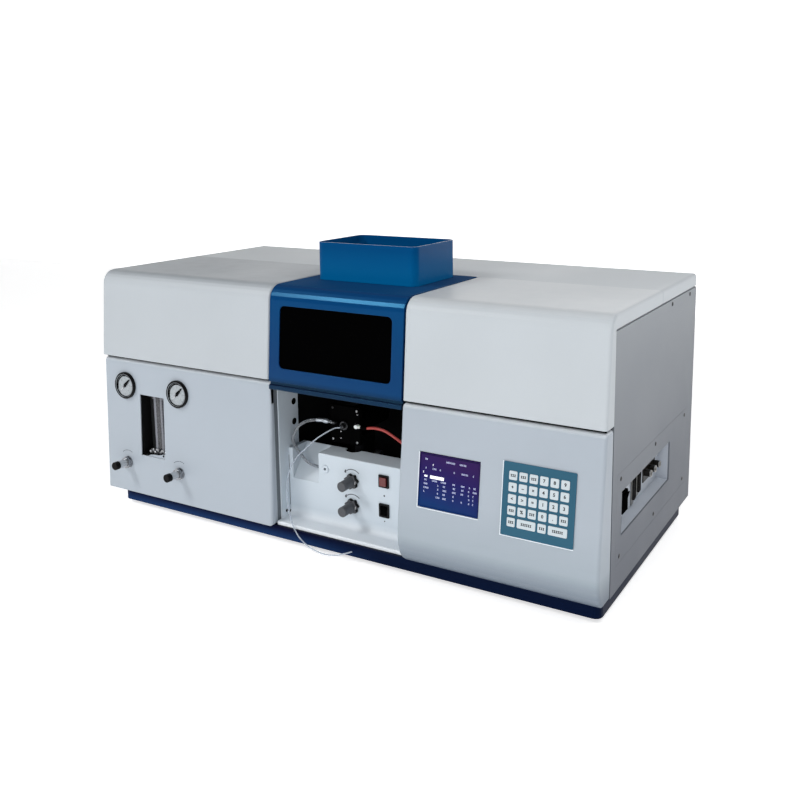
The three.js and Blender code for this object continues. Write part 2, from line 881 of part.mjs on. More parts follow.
function hood() {
  const slope = Math.atan(coverRakeShare);
  const centreZ = caseTall - coverBend;
  const outline = (inset, spill) => {
    const front = (z) => frontOfCover(z) + inset / Math.cos(slope);
    const bar = inset > 0
      ? [
        [front(hoodFoot) + hoodBarDeep, hoodFoot - spill],
        [front(grooveTop) + hoodBarDeep, grooveTop + 2 * sheet],
        [front(grooveTop + 2 * sheet), grooveTop + 2 * sheet],
      ]
      : [
        [front(hoodFoot) + hoodLipStep, hoodFoot],
        [front(barTop) + hoodLipStep, barTop],
        [front(barTop) + hoodGrooveDeep, barTop + hoodLipStep],
        [front(grooveTop) + hoodGrooveDeep, grooveTop - hoodLipStep],
        [front(grooveTop), grooveTop],
      ];
    return [
      [coverDeep + spill, hoodFoot - (inset > 0 ? spill : 0)],
      ...bar,
      ...bend(
        frontOfCover(centreZ) + coverBend / Math.cos(slope), centreZ, coverBend - inset,
        Math.PI - slope, Math.PI / 2,
      ),
      [coverDeep + spill, caseTall - inset],
    ];
  };
  const outer = along('x', figure(outline(0, 0)), hoodLeft, hoodRight);
  const inner = along('x', figure(outline(sheet, overrun)), hoodLeft + sheet, hoodRight - sheet);
  const window = along('y', roundedFigure(
    hoodLeft + windowSide, windowFoot, hoodRight - windowSide, windowTop, windowRound,
  ), -overrun, bandDeep);
  const flue = along('z', roundedFigure(
    hoodLeft + chimneyLeftInset + chimneyWall, chimneyFront + chimneyWall,
    hoodLeft + chimneyLeftInset + chimneyWide - chimneyWall, chimneyFront + chimneyDeep - chimneyWall,
    chimneyRound - chimneyWall,
  ), caseTall - 2 * sheet, caseTall + overrun);
  return cut(outer, inner, belowBand(hoodLeft, hoodRight), window, flue);
}
add('hood', hood(), blue, 0.25, 0.1);

// Pane behind the hood window, leaning with the hood front
function pane() {
  const shape = roundedFigure(
    hoodLeft + windowSide - paneLap, windowFoot - paneLap,
    hoodRight - windowSide + paneLap, windowTop + paneLap / 2, windowRound,
  );
  const geometry = new THREE.ExtrudeGeometry(shape, {
    depth: paneThick, bevelEnabled: false, curveSegments: cornerSteps,
  });
  const back = frontOfCover(0) + (sheet + seatGap) / Math.cos(Math.atan(coverRakeShare)) + paneThick;
  geometry.applyMatrix4(new THREE.Matrix4().set(
    1, 0, 0, 0,
    0, coverRakeShare, -1, back,
    0, 1, 0, 0,
    0, 0, 0, 1,
  ));
  return solidOf(geometry);
}
add('hood_window', pane(), 0x07080b, 0.1, 0);

// Chimney: a rectangular duct with rounded corners, open at both ends
function chimney() {
  const ring = (gap) => roundedFigure(
    -chimneyWide / 2 + gap, -chimneyDeep / 2 + gap, chimneyWide / 2 - gap, chimneyDeep / 2 - gap,
    chimneyRound - gap,
  );
  const shape = ring(0);
  shape.holes.push(ring(chimneyWall));
  return solidOf(new THREE.ExtrudeGeometry(shape, {
    depth: chimneyRise, bevelEnabled: false, curveSegments: bendSteps,
  }));
}
add('chimney', chimney(), blue, 0.25, 0.1, {
  at: [
    hoodLeft + chimneyLeftInset + chimneyWide / 2, chimneyFront + chimneyDeep / 2, caseTall + seatGap,
  ],
});

// Flame bay: white cheeks at the mouth, a black liner behind them
const floorTop = seatGap + floorThick;
const cheekFoot = floorTop + seatGap;
const cheekInLeft = hoodLeft + cheekStep + seatGap;
const cheekInRight = displayLeft;
const cheekTop = waistHeight - cheekDrop;

function cheek(inner, folded, front) {
  const outer = inner + Math.sign(folded - inner) * sheet;
  const rear = bayFront - seatGap;
  const path = [
    [inner, front], [inner, rear], [folded, rear], [folded, rear - sheet],
    [outer, rear - sheet], [outer, front],
  ];
  return along('z', figure(path), cheekFoot, cheekTop);
}
add('left_cheek', cheek(cheekInLeft, baySideLeft, cheekFront), white, 0.5, 0.1);

function liner() {
  const outer = block(baySideLeft, baySideRight, bayFront, coverDeep - sheet, cheekFoot, bayTop);
  const inner = block(
    baySideLeft + sheet, baySideRight - sheet, bayFront - overrun, coverDeep - 2 * sheet,
    cheekFoot + sheet, bayTop + overrun,
  );
  const beam = rod(beamBore, 'right', baySideLeft - overrun, baySideRight + overrun, 20)
    .translate([0, beamDepth, beamHeight]);
  return cut(outer, inner, beam);
}
const hosePort = block(
  baySideRight - 2 * sheet, baySideRight + overrun, bayFront + sheet + seatGap,
  bayFront + sheet + hosePortWide, liftCoverTall - hosePortTall, liftCoverTall + hosePortTall / 4,
);
add('bay_liner', cut(liner(), hosePort), black, 0.7, 0);

add('right_cheek', cheek(cheekInRight, baySideRight, panelDeep + seatGap), white, 0.5, 0.1);

// White cover: sill, folded front and top ledge in one sheet, with a scooped pocket on the left
const liftCoverLeft = cheekInLeft + seatGap;
const liftCoverRight = cheekInRight - seatGap;
const liftCoverBack = liftCoverFront + liftCoverDeep;
const pocketLeft = liftCoverLeft + pocketInset;
const pocketRight = pocketLeft + pocketWide;
const drainPortFoot = pocketFoot + (liftCoverTall - pocketFoot) / 4;
const bushingLeft = pocketRight + bushingInset;
const burnerLeft = hoodLeft + burnerInset;
const postLeft = burnerLeft + postOffset;
const adjusterLeft = hoodLeft + adjusterInset;
const switchLeft = hoodLeft + switchInset;

function foldedSheet(top, ledgeEnd) {
  const foot = seatGap;
  const bendOut = bend(liftCoverFront - sillBend, sillTall + sillBend, sillBend, -Math.PI / 2, 0);
  const bendIn = bend(
    liftCoverFront - sillBend, sillTall + sillBend, sillBend + sheet, 0, -Math.PI / 2,
  );
  return figure([
    [sillFront, foot], [sillFront, sillTall - sheet / 2], [sillFront + sheet / 2, sillTall],
    ...bendOut,
    [liftCoverFront, top - sheet / 2], [liftCoverFront + sheet / 2, top], ...ledgeEnd,
    [liftCoverFront + sheet, top - sheet], ...bendIn,
    [sillFront + sheet, sillTall - sheet], [sillFront + sheet, foot],
  ]);
}

function liftCover() {
  const ledge = [[liftCoverBack, liftCoverTall], [liftCoverBack, liftCoverTall - sheet]];
  const full = along('x', foldedSheet(liftCoverTall, ledge), liftCoverLeft, liftCoverRight);
  const pocketHole = block(
    pocketLeft, pocketRight, liftCoverFront - overrun, liftCoverBack + overrun,
    pocketFoot, liftCoverTall + overrun,
  );
  const scoop = (drop) => [
    [liftCoverFront, pocketFoot - sheet - drop], [liftCoverFront, pocketFoot - drop],
    [liftCoverFront + sheet, pocketFoot + sheet - drop], [liftCoverBack, liftCoverTall - drop],
    [liftCoverBack, liftCoverTall - 2 * sheet - drop],
    [liftCoverFront + sheet, pocketFoot - 2 * sheet - drop],
  ];
  const slope = along('x', figure(scoop(0)), pocketLeft - sheet, pocketRight + sheet);
  const gusset = figure([
    [liftCoverFront, pocketFoot - sheet], [liftCoverFront, liftCoverTall - sheet / 2],
    [liftCoverFront + sheet / 2, liftCoverTall], [liftCoverBack, liftCoverTall],
    [liftCoverBack, liftCoverTall - 2 * sheet],
  ]);
  const notch = rod(2 * notchRadius, 'up', liftCoverTall - 2 * sheet, liftCoverTall + overrun, 20)
    .translate([postLeft, liftCoverBack, 0]);
  const shafts = adjusterHeights.map((z) => rod(
    adjusterShaft + 2 * seatGap, 'rear', liftCoverFront - overrun, liftCoverFront + overrun, 16,
  ).translate([adjusterLeft, 0, z]));
  const switchHoles = [[igniterHeight, igniterTall], [pumpHeight, pumpTall]].map(([z, tall]) => block(
    switchLeft - switchWide / 2 + switchRim, switchLeft + switchWide / 2 - switchRim,
    liftCoverFront - overrun, liftCoverFront + overrun,
    z - tall / 2 + switchRim, z + tall / 2 - switchRim,
  ));
  const bushingAt = [bushingLeft, 0, bushingHeight];
  const bushing = rod(
    bushingAcross, 'rear', liftCoverFront - bushingProud, liftCoverFront + sheet, 20,
  ).translate(bushingAt);
  const bushingHole = rod(bushingBore, 'rear', 0, liftCoverFront + overrun, 14).translate(bushingAt);
  const drainPort = block(
    pocketRight - overrun, pocketRight + 2 * sheet, liftCoverFront + 2 * sheet,
    liftCoverFront + 2 * sheet + hosePortWide / 2, drainPortFoot, liftCoverTall - 2 * sheet,
  );
  return cut(
    join(
      cut(full, pocketHole), slope,
      along('x', gusset, pocketLeft - sheet, pocketLeft),
      cut(along('x', gusset, pocketRight, pocketRight + sheet), drainPort),
      bushing,
    ),
    notch, ...shafts, ...switchHoles, bushingHole,
  );
}
add('lift_cover', liftCover(), white, 0.45, 0.1);

// Burner on its cross slide and lift
const linerFloor = cheekFoot + sheet + seatGap;
const carriageBack = postFront + liftBlockDeep + seatGap;
const rearLimit = carriageBack + carriageGuideThick + overrun;

function crossSlide() {
  const left = postLeft - carriageWide / 2;
  const right = postLeft + carriageWide / 2;
  const front = postFront - liftBlockDeep / 4;
  const plate = block(
    left, right, front, carriageBack + carriageGuideThick, linerFloor, linerFloor + carriageThick,
  );
  const guide = block(
    postLeft - liftBlockWide / 2, postLeft + liftBlockWide / 2, carriageBack,
    carriageBack + carriageGuideThick, linerFloor, linerFloor + carriageGuideTall,
  );
  const web = along('x', figure([
    [carriageBack + carriageGuideThick, linerFloor],
    [carriageBack + carriageGuideThick, linerFloor + carriageGuideTall / 2],
    [carriageBack + 2 * carriageGuideThick, linerFloor],
  ]), postLeft - carriageThick / 2, postLeft + carriageThick / 2);
  const [, screwHeight] = adjusterHeights;
  const lug = block(
    postLeft, adjusterLeft + adjusterShaft, carriageBack, carriageBack + carriageGuideThick,
    screwHeight - adjusterShaft, screwHeight + adjusterShaft,
  );
  const screwHole = rod(adjusterShaft + 2 * seatGap, 'rear', carriageBack - overrun, rearLimit, 16)
    .translate([adjusterLeft, 0, screwHeight]);
  return cut(join(plate, guide, web, lug), screwHole);
}
add('cross_slide', crossSlide(), steel, 0.4, 0.8);

const chamberUnder = chamberHeight - chamberAcross / 2;

function burnerLift() {
  const front = postFront;
  const lower = block(
    postLeft - liftBlockWide / 2, postLeft + liftBlockWide / 2, front, front + liftBlockDeep,
    liftBlockHeight, liftBlockHeight + liftBlockTall,
  );
  const post = rod(postAcross, 'up', liftBlockHeight + liftBlockTall / 2, chamberUnder - seatGap, 18)
    .translate([postLeft, front + postAcross / 2, 0]);
  const saddle = block(
    postLeft - postAcross / 2, postLeft + postAcross / 2, front + postAcross / 2, front + liftBlockDeep,
    liftBlockHeight + liftBlockTall / 2, chamberUnder - seatGap,
  );
  const rack = block(
    postLeft, adjusterLeft - pinionAcross / 2 - rackGap, front, front + liftBlockDeep,
    liftBlockHeight, liftBlockHeight + liftBlockTall,
  );
  const bore = rod(postAcross / 2, 'up', liftBlockHeight - overrun, liftBlockHeight + liftBlockTall / 3, 14)
    .translate([postLeft, front + liftBlockDeep / 2, 0]);
  return cut(join(lower, rack, post, saddle), bore);
}
add('burner_lift', burnerLift(), black, 0.45, 0.4);

// Spray chamber: square end cap, drum, upright neck for the burner, drain spigot on the left
function sprayChamber() {
  const cap = along('y', roundedFigure(
    -chamberCapWide / 2, -chamberCapTall / 2, chamberCapWide / 2, chamberCapTall / 2, 2 * sheet,
  ), 0, chamberCapThick);
  const drum = turned([
    [0, chamberCapThick / 2], [chamberAcross / 2, chamberCapThick / 2],
    [chamberAcross / 2, chamberLong - chamberAcross / 4], [chamberAcross / 4, chamberLong], [0, chamberLong],
  ], 'rear');
  const neck = rod(neckAcross, 'up', 0, neckTop - chamberHeight, 24)
    .translate([0, beamDepth - chamberFront, 0]);
  const collar = rod(neckAcross + chamberCapThick, 'up', 0, chamberAcross / 2 + chamberCapThick, 24)
    .translate([0, beamDepth - chamberFront, 0]);
  const flue = rod(neckAcross - chamberCapThick, 'up', chamberAcross / 4, neckTop, 20)
    .translate([0, beamDepth - chamberFront, 0]);
  return cut(join(cap, drum, neck, collar), flue);
}
add('spray_chamber', sprayChamber(), black, 0.45, 0, { at: [burnerLeft, chamberFront, chamberHeight] });

// Burner head: a ribbed slot burner on a round foot
function burnerHead() {
  const foot = rod(burnerFootAcross, 'up', 0, burnerFootTall, 24);
  const wide = burnerFootWide / 2;
  const narrow = burnerTopWide / 2;
  const section = figure([
    [-wide, burnerFootTall - sheet / 2], [wide, burnerFootTall - sheet / 2],
    [wide, burnerFootTall + burnerTall / 3],
    [narrow, burnerFootTall + burnerTall], [-narrow, burnerFootTall + burnerTall],
    [-wide, burnerFootTall + burnerTall / 3],
  ]);
  const bar = along('x', section, -burnerLong / 2, burnerLong / 2);
  const top = burnerFootTall + burnerTall;
  const slot = block(
    -burnerSlotLong / 2, burnerSlotLong / 2, -burnerSlotWide / 2, burnerSlotWide / 2,
    top - burnerSlotDeep, top + overrun,
  );
  const grooves = [];
  for (let i = 1; i < burnerRibs; i += 1) {
    const x = -burnerLong / 2 + (burnerLong * i) / burnerRibs;
    grooves.push(block(
      x - burnerRibGap / 2, x + burnerRibGap / 2, -wide - overrun, -wide + burnerRibDeep,
      burnerFootTall, top + overrun,
    ));
    grooves.push(block(
      x - burnerRibGap / 2, x + burnerRibGap / 2, wide - burnerRibDeep, wide + overrun,
      burnerFootTall, top + overrun,
    ));
  }
  return cut(join(foot, bar), slot, ...grooves);
}
add('burner_head', burnerHead(), 0x6d6f74, 0.35, 0.9, { at: [burnerLeft, beamDepth, neckTop + seatGap] });

// Nebuliser in the middle of the cap, and the fuel elbow beside it
function nebuliser() {
  const collar = sprayCollarAcross / 2;
  const tip = sprayTipAcross / 2;
  return turned([
    [0, 0], [collar, 0], [collar, sprayCollarLong - sheet / 2], [collar - sheet / 2, sprayCollarLong],
    [tip, sprayCollarLong], [tip, sprayCollarLong + sprayTipLong - sheet],
    [tip / 2, sprayCollarLong + sprayTipLong], [0, sprayCollarLong + sprayTipLong],
  ], 'front', 20);
}
const capFace = chamberFront - seatGap;
add('nebuliser', nebuliser(), steel, 0.3, 0.7, { at: [burnerLeft, capFace, chamberHeight] });

function fuelElbow() {
  const stem = rod(fuelElbowAcross, 'front', 0, fuelElbowLong, 14);
  const barb = rod(fuelBarbAcross, 'right', 0, fuelElbowLong, 12)
    .translate([0, -fuelElbowLong + fuelElbowAcross / 2, 0]);
  return join(stem, barb);
}
const elbowAt = [burnerLeft + fuelElbowOffset, capFace, chamberHeight + fuelElbowRise];
add('fuel_elbow', fuelElbow(), 0xe8e8e4, 0.4, 0, { at: elbowAt });

// Hoses. Both run free of the walls, through ports with room for the burner's travel. Each route is
// laid out in shares of the way from its start to its end.
function between(start, end, shares) {
  const spot = (share) => start.map((from, axis) => from + (end[axis] - from) * share[axis]);
  return [start, ...shares.map(spot), end];
}

const hoseStart = [
  elbowAt[0] + fuelElbowLong + seatGap,
  elbowAt[1] - fuelElbowLong + fuelElbowAcross / 2,
  elbowAt[2],
];
const hoseEnd = [
  baySideRight + sheet + seatGap,
  bayFront + sheet + hosePortWide * hosePortShare,
  liftCoverTall - hosePortTall / 2,
];
const fuelHoseShares = [
  [0.055, 0, 0.01], [0.2, 0.03, -0.04], [0.33, 0.13, 0.01], [0.46, 0.25, 0.17], [0.585, 0.6, 0.43],
  [0.69, 0.87, 0.65], [0.8, 0.97, 0.85], [0.91, 1, 0.97],
];
const fuelHoseRoute = between(hoseStart, hoseEnd, fuelHoseShares);
add('fuel_hose', hose(fuelHoseRoute, hoseAcross, fuelHoseSteps), 0xb04a4a, 0.35, 0);

const drainStart = [burnerLeft - drainOffset, capFace, chamberHeight + drainRise];
const drainEnd = [
  pocketRight + drainInset,
  liftCoverFront + 2 * sheet + hosePortWide / 4 + drainEndRoom,
  drainPortFoot + drainEndRise,
];
const drainShares = [
  [0, 0.278, 0], [0.3, 0.511, -0.005], [1.1, 0.589, -0.02], [2.4, 0.856, -0.031], [4, 1.133, 0.02],
  [5.2, 1.367, 0.15], [5.8, 1.472, 0.321], [5.95, 1.528, 0.476], [5.4, 1.428, 0.652],
  [4.6, 1.278, 0.818], [3.6, 1.122, 0.94], [2.4, 1.01, 0.985],
];
const drainRoute = between(drainStart, drainEnd, drainShares);
add('drain_tube', hose(drainRoute, drainAcross, drainSteps), 0x25282c, 0.2, 0);

// Sample capillary: hangs from the nebuliser over the sill, its end loose in front of the plinth.
// The route is laid out from the nebuliser's tip.
const capillaryStart = [burnerLeft, capFace - sprayCollarLong - sprayTipLong - seatGap, chamberHeight];
const capillaryPath = [
  [0, 0, 0], [0, -3, 0], [-9, -6, -2], [-24, -12, -11], [-41, -19, -24], [-58, -24, -41], [-72, -28, -55],
  [-82, -31, -70], [-88, -34, -85], [-90, -38, -103], [-87, -44, -126], [-78, -51, -152], [-67, -58, -165.5],
  [-56, -63, -177.5], [-43, -67, -187.5], [-26, -70, -195.5], [-5, -72, -200.5], [17, -73, -201.5],
  [38, -72, -198.5], [55, -70, -192.5], [67, -68, -187.5],
];
const capillaryRoute = capillaryPath.map((step) => step.map((offset, axis) => capillaryStart[axis] + offset));
add('sample_capillary', hose(capillaryRoute, capillaryAcross, capillarySteps), 0xe6ebee, 0.3, 0);

// Burner adjusters: a lobed rim and a plain grip, on a shaft through the cover
function adjuster(shaftLong, pinionLong) {
  const lobes = figure(ringPoints(
    adjusterLobes * 4,
    (i) => adjusterFlange / 2 + adjusterLobe * Math.cos((2 * Math.PI * (i % 4)) / 4),
  ));
  const grip = adjusterAcross / 2;
  const end = adjusterFlangeThick + adjusterLong;
  return join(
    along('y', lobes, -adjusterFlangeThick, 0),
    turned([
      [0, adjusterFlangeThick / 2], [grip, adjusterFlangeThick / 2], [grip, end - sheet / 2],
      [grip - sheet / 2, end], [0, end],
    ], 'front', 24),
    rod(adjusterShaft, 'rear', -sheet, shaftLong, 16),
    rod(pinionAcross, 'rear', shaftLong - pinionLong, shaftLong, 16),
  );
}
const knobFace = liftCoverFront - seatGap;
const pinionLong = liftBlockDeep - crossTravel;
const knobs = [
  ['height_knob', postFront + pinionLong - knobFace, pinionLong],
  ['fore_aft_knob', rearLimit - knobFace, overrun],
];
knobs.forEach(([name, shaftLong, collarLong], i) => {
  const at = [adjusterLeft, knobFace, adjusterHeights[i]];
  add(name, adjuster(shaftLong, collarLong), 0x303338, 0.45, 0.1, { at });
});

// Switches: a framed body in the cover, a red push button and a black rocker
function switchBody(tall) {
  const wide = switchWide / 2;
  const rim = along('y', roundedFigure(-wide, -tall / 2, wide, tall / 2, sheet / 2), -switchProud, 0);
  const inWide = wide - switchRim - seatGap;
  const inTall = tall / 2 - switchRim - seatGap;
  const body = block(-inWide, inWide, -switchProud / 2, switchBodyDeep, -inTall, inTall);
  const well = block(
    -inWide + switchRim / 2, inWide - switchRim / 2, -switchProud - overrun, switchBodyDeep / 2,
    -inTall + switchRim / 2, inTall - switchRim / 2,
  );
  return cut(join(rim, body), well);
}

const switchWall = switchRim / 2;
const pushWide = switchWide / 2 - switchRim - switchWall - 2 * seatGap;

function pushKey(tall) {
  const pushTall = tall / 2 - switchRim - switchWall - 2 * seatGap;
  const depth = switchBodyDeep / 2 - buttonTravel - 2 * seatGap;
  const face = roundedFigure(-pushWide, -pushTall, pushWide, pushTall, sheet / 2);
  return along('y', face, -buttonProud - switchProud, depth);
}

function rockerKey(wide, tall) {
  const reach = tall / 2;
  const proud = switchProud + rockerCrown;
  return along('x', figure([
    [0, -reach * rockerFootShare], [-switchProud, -reach], [-proud, -reach], [-switchProud, 0],
    [-proud, reach], [-switchProud, reach], [0, reach * rockerFootShare], [rockerCrown, 0],
  ]), -wide, wide).rotate([rockerTilt, 0, 0]);
}

add('igniter_frame', switchBody(igniterTall), black, 0.4, 0, { at: [switchLeft, knobFace, igniterHeight] });
add('igniter_button', pushKey(igniterTall), 0x7a1518, 0.35, 0, { at: [switchLeft, knobFace, igniterHeight] });
add('pump_frame', switchBody(pumpTall), black, 0.4, 0, { at: [switchLeft, knobFace, pumpHeight] });
const pumpKeyTall = pumpTall - 2 * (switchRim + switchWall) - rockerSlack;
add('pump_rocker', rockerKey(pushWide, pumpKeyTall), black, 0.4, 0, {
  at: [switchLeft, knobFace, pumpHeight],
});

// Plinth: a rounded slab, hollow underneath between cross ribs
const plinthLeft = plinthLeftInset;
const plinthRight = caseWide - plinthRightInset;
const plinthBack = caseDeep - plinthRearInset;
const footFronts = [plinthFrontInset + footInset, plinthBack - footInset - footWide];

function plinth() {
  const slab = along('z', roundedFigure(
    plinthLeft, plinthFrontInset, plinthRight, plinthBack, plinthRound,
  ), -plinthTall, 0);
  const frontRail = [footFronts[0] - plinthRail, footFronts[0] + footWide + plinthRail];
  const rearRail = [footFronts[1] - plinthRail, footFronts[1] + footWide + plinthRail];
  const rows = [
    [plinthFrontInset + plinthWall, frontRail[0]], [frontRail[1], rearRail[0]],
    [rearRail[1], plinthBack - plinthWall],
  ];
  const pitch = (plinthRight - plinthLeft - 2 * plinthRound + plinthRib) / plinthPockets;
  const pockets = rows.flatMap(([front, back]) => Array.from({ length: plinthPockets }, (unused, i) => {
    const left = plinthLeft + plinthRound + i * pitch;
    const pocket = roundedFigure(left, front, left + pitch - plinthRib, back, plinthWall);
    return along('z', pocket, -plinthTall - overrun, -plinthWall);
  }));
  return cut(slab, ...pockets);
}
add('plinth', plinth(), navy, 0.4, 0.1);

// Feet: two ribbed rubber runners
function runner() {
  const long = plinthRight - plinthLeft - 2 * footEndInset;
  const top = -seatGap;
  const treads = Array.from({ length: footGrooves }, (unused, i) => {
    const y = (footWide * (2 * i + 2)) / (2 * footGrooves + 2);
    return block(
      -long / 2 - overrun, long / 2 + overrun, y - footTread / 2, y + footTread / 2,
      top - footTall - overrun, top - footTall + footTread / 2,
    );
  });
  const sole = roundedFigure(-long / 2, 0, long / 2, footWide, 2 * footTread);
  const body = along('z', sole, top - footTall, top);
  return cut(body, ...treads);
}
const plinthMiddle = (plinthLeft + plinthRight) / 2;
['front_foot', 'rear_foot'].forEach((name, i) => {
  add(name, runner(), 0x1a1a1c, 0.8, 0, { at: [plinthMiddle, footFronts[i], -plinthTall] });
});

// Floor pan that carries the inner units
const floorPan = block(
  sideTray + seatGap, caseWide - sideTray - seatGap, panelDeep + seatGap, caseDeep - sheet - seatGap,
  seatGap, floorTop,
);

// Side trays with a joggled upper edge that laps behind the covers
const sideFront = frontOfCover(coverFoot) + bandDeep + 2 * seatGap;
const sideBack = caseDeep - sheet - seatGap;
const sideTop = caseTall - bandTall - sideSeam;

function side(face, inwards) {
  const deep = face + inwards * sideTray;
  const [low, high] = [Math.min(face, deep), Math.max(face, deep)];
  const body = block(low, high, sideFront, sideBack, seatGap, sideTop);
  const hollowFace = face + inwards * sheet;
  const hollowDeep = deep + inwards * overrun;
  const hollow = block(
    Math.min(hollowFace, hollowDeep), Math.max(hollowFace, hollowDeep),
    sideFront + sheet, sideBack - sheet, seatGap + sheet, sideTop - sheet,
  );
  const lipFace = face + inwards * (sheet + seatGap);
  const lipDeep = lipFace + inwards * sheet;
  const lip = block(
    Math.min(lipFace, lipDeep), Math.max(lipFace, lipDeep), sideFront + 2 * sheet,
    sideBack - 2 * sheet, sideTop - sheet, caseTall - bandTall + lapRise,
  );
  const notch = block(
    low - overrun, high + overrun, coverDeep - sheet, coverDeep + rearSeam + 2 * sheet,
    sideTop + sheet / 2, caseTall,
  );
  return join(cut(body, hollow), cut(lip, notch));
}
add('left_side', side(0, 1), white, 0.5, 0.1);

const accessBack = caseDeep - accessRearInset;
const accessTop = accessFoot + accessTall;
const accessHole = block(
  caseWide - sheet - overrun, caseWide + overrun, accessFront - seatGap, accessBack + seatGap,
  accessFoot - seatGap, accessTop + seatGap,
);
add('right_side', cut(side(caseWide, -1), accessHole), white, 0.5, 0.1);

// Access plate flush in the right side, drawn inwards to a deep pan that holds the connectors
const recessBack = recessFront + recessLong;
const recessTop = recessFoot + recessTall;
const panBack = caseWide - panDeep;
const portFronts = portInsets.map((inset) => recessFront + inset);

function accessPlate() {
  const plate = block(caseWide - sheet, caseWide, accessFront, accessBack, accessFoot, accessTop);
  const tray = block(
    panBack, caseWide - sheet / 2, recessFront - sheet, recessBack + sheet,
    recessFoot - sheet, recessTop + sheet,
  );
  const hollow = block(
    panBack + sheet, caseWide + overrun, recessFront, recessBack, recessFoot, recessTop,
  );
  const middle = (recessFoot + recessTop) / 2;
  const shellWide = portThick * portShellWideShare;
  const openings = portFronts.map((y, i) => block(
    panBack - overrun, panBack + 2 * sheet, y - shellWide / 2, y + shellWide / 2,
    middle - (portLongs[i] * portShellLongShare) / 2, middle + (portLongs[i] * portShellLongShare) / 2,
  ));
  return cut(join(plate, tray), hollow, ...openings);
}
add('access_plate', accessPlate(), white, 0.5, 0.1);

const panFloor = panBack + sheet + seatGap;

// Sub-D port: a flange, a D-shaped shell and its socket block
function port(long) {
  const wide = portThick / 2;
  const tall = long / 2;
  const shellWide = wide * portShellWideShare;
  const shellTall = tall * portShellLongShare;
  const taper = shellWide / 3;
  const outline = (inset) => figure([
    [-shellWide + inset, -shellTall + inset], [shellWide - inset, -shellTall + taper + inset],
    [shellWide - inset, shellTall - taper - inset], [-shellWide + inset, shellTall - inset],
  ]);
  const flange = block(0, portFlange, -wide, wide, -tall, tall);
  const rim = along('x', outline(0), 0, portProud);
  const well = along('x', outline(portRimWall), portProud / 2, portProud + overrun);
  return cut(join(flange, rim), well);
}
['long_port', 'short_port'].forEach((name, i) => {
  add(name, port(portLongs[i]), 0x2a2624, 0.5, 0.5, {
    at: [panFloor, portFronts[i], (recessFoot + recessTop) / 2],
  });
});

// Signal sockets: turned sockets with a bore and a centre pin, on one strip
function signalSockets() {
  const wide = coaxAcross / 2;
  const strip = block(0, portFlange, -wide, wide + coaxPitch * (coaxCount - 1), -coaxAcross, coaxAcross);
  const sockets = Array.from({ length: coaxCount }, (unused, i) => turned([
    [0, portFlange / 2], [wide * coaxBodyShare, portFlange / 2], [wide * coaxBodyShare, coaxProud],
    [wide * coaxBoreShare, coaxProud], [wide * coaxBoreShare, coaxProud / 2],
    [wide * coaxPinShare, coaxProud / 2], [wide * coaxPinShare, coaxProud - sheet], [0, coaxProud - sheet],
  ], 'right', 16).translate([0, coaxPitch * i, 0]));
  return join(strip, ...sockets);
}
add('signal_sockets', signalSockets(), 0x77797c, 0.35, 0.8, {
  at: [panFloor, recessFront + coaxInset, (recessFoot + recessTop) / 2],
});

// Mains switch in the pan: a frame and a rocker
const mainsWide = mainsSwitchLong / 2;
const mainsTall = mainsSwitchTall / 2;
const mainsDeep = panDeep / 2;

function mainsFrame() {
  const body = block(0, mainsDeep, -mainsWide, mainsWide, -mainsTall, mainsTall);
  const well = block(
    sheet, mainsDeep + overrun, -mainsWide + sheet, mainsWide - sheet, -mainsTall + sheet, mainsTall - sheet,
  );
  return cut(body, well);
}

function mainsRocker() {
  const key = rockerKey(mainsWide - sheet - seatGap, 2 * (mainsTall - sheet - 2 * seatGap));
  return key.rotate([0, 0, 90]);
}
const mainsAt = [panFloor, recessFront + mainsSwitchInset + mainsWide, (recessFoot + recessTop) / 2];
add('mains_frame', mainsFrame(), black, 0.45, 0, { at: mainsAt });
add('mains_rocker', mainsRocker(), black, 0.4, 0, {
  at: [mainsAt[0] + mainsDeep - sheet, mainsAt[1], mainsAt[2]],
});

// Rear panel with louvres, fan opening and ports
const rearFace = caseDeep;
const louvreLeft = caseWide / 2 + louvreOffset;
const louvreTop = sideTop - louvreTopInset;
const fanLeft = caseWide - fanRightInset;
const fanHeight = sideTop - fanTopInset;
const inletLeft = caseWide - inletRightInset;
const inletHoleWide = inletBodyWide / 2 + seatGap;
const inletHoleTall = inletBodyTall / 2 + seatGap;

function rearPanel() {
  const plate = block(sheet, caseWide - sheet, rearFace - sheet, rearFace, seatGap, sideTop);
  const lip = block(
    rearLipInset, caseWide - rearLipInset, rearFace - 2 * sheet - seatGap, rearFace - sheet - seatGap,
    sideTop - rearLapTall, caseTall - bandTall + lapRise,
  );
  const hem = block(
    rearLipInset, caseWide - rearLipInset, rearFace - 2 * sheet, rearFace - sheet / 2,
    sideTop - rearLapTall, sideTop - sheet,
  );
  const louvres = [];
  for (let i = 0; i < louvreCount; i += 1) {
    for (let column = 0; column < 2; column += 1) {
      const left = louvreLeft - column * (louvreLong + 2 * louvrePitch);
      const z = louvreTop - i * louvrePitch;
      louvres.push(block(
        left, left + louvreLong, rearFace - sheet - overrun, rearFace + overrun, z, z + louvreTall,
      ));
    }
  }
  const fanHole = rod(fanBore, 'rear', rearFace - 2 * sheet, rearFace + overrun)
    .translate([fanLeft, 0, fanHeight]);
  const gasHoles = gasPortLefts.map((x) => rod(
    gasPortShank + 2 * seatGap, 'rear', rearFace - 2 * sheet, rearFace + overrun, 18,
  ).translate([x, 0, gasPortHeight]));
  const inletHole = block(
    inletLeft - inletHoleWide, inletLeft + inletHoleWide, rearFace - 2 * sheet, rearFace + overrun,
    inletHeight - inletHoleTall, inletHeight + inletHoleTall,
  );
  return cut(join(plate, hem, lip), ...louvres, fanHole, ...gasHoles, inletHole);
}
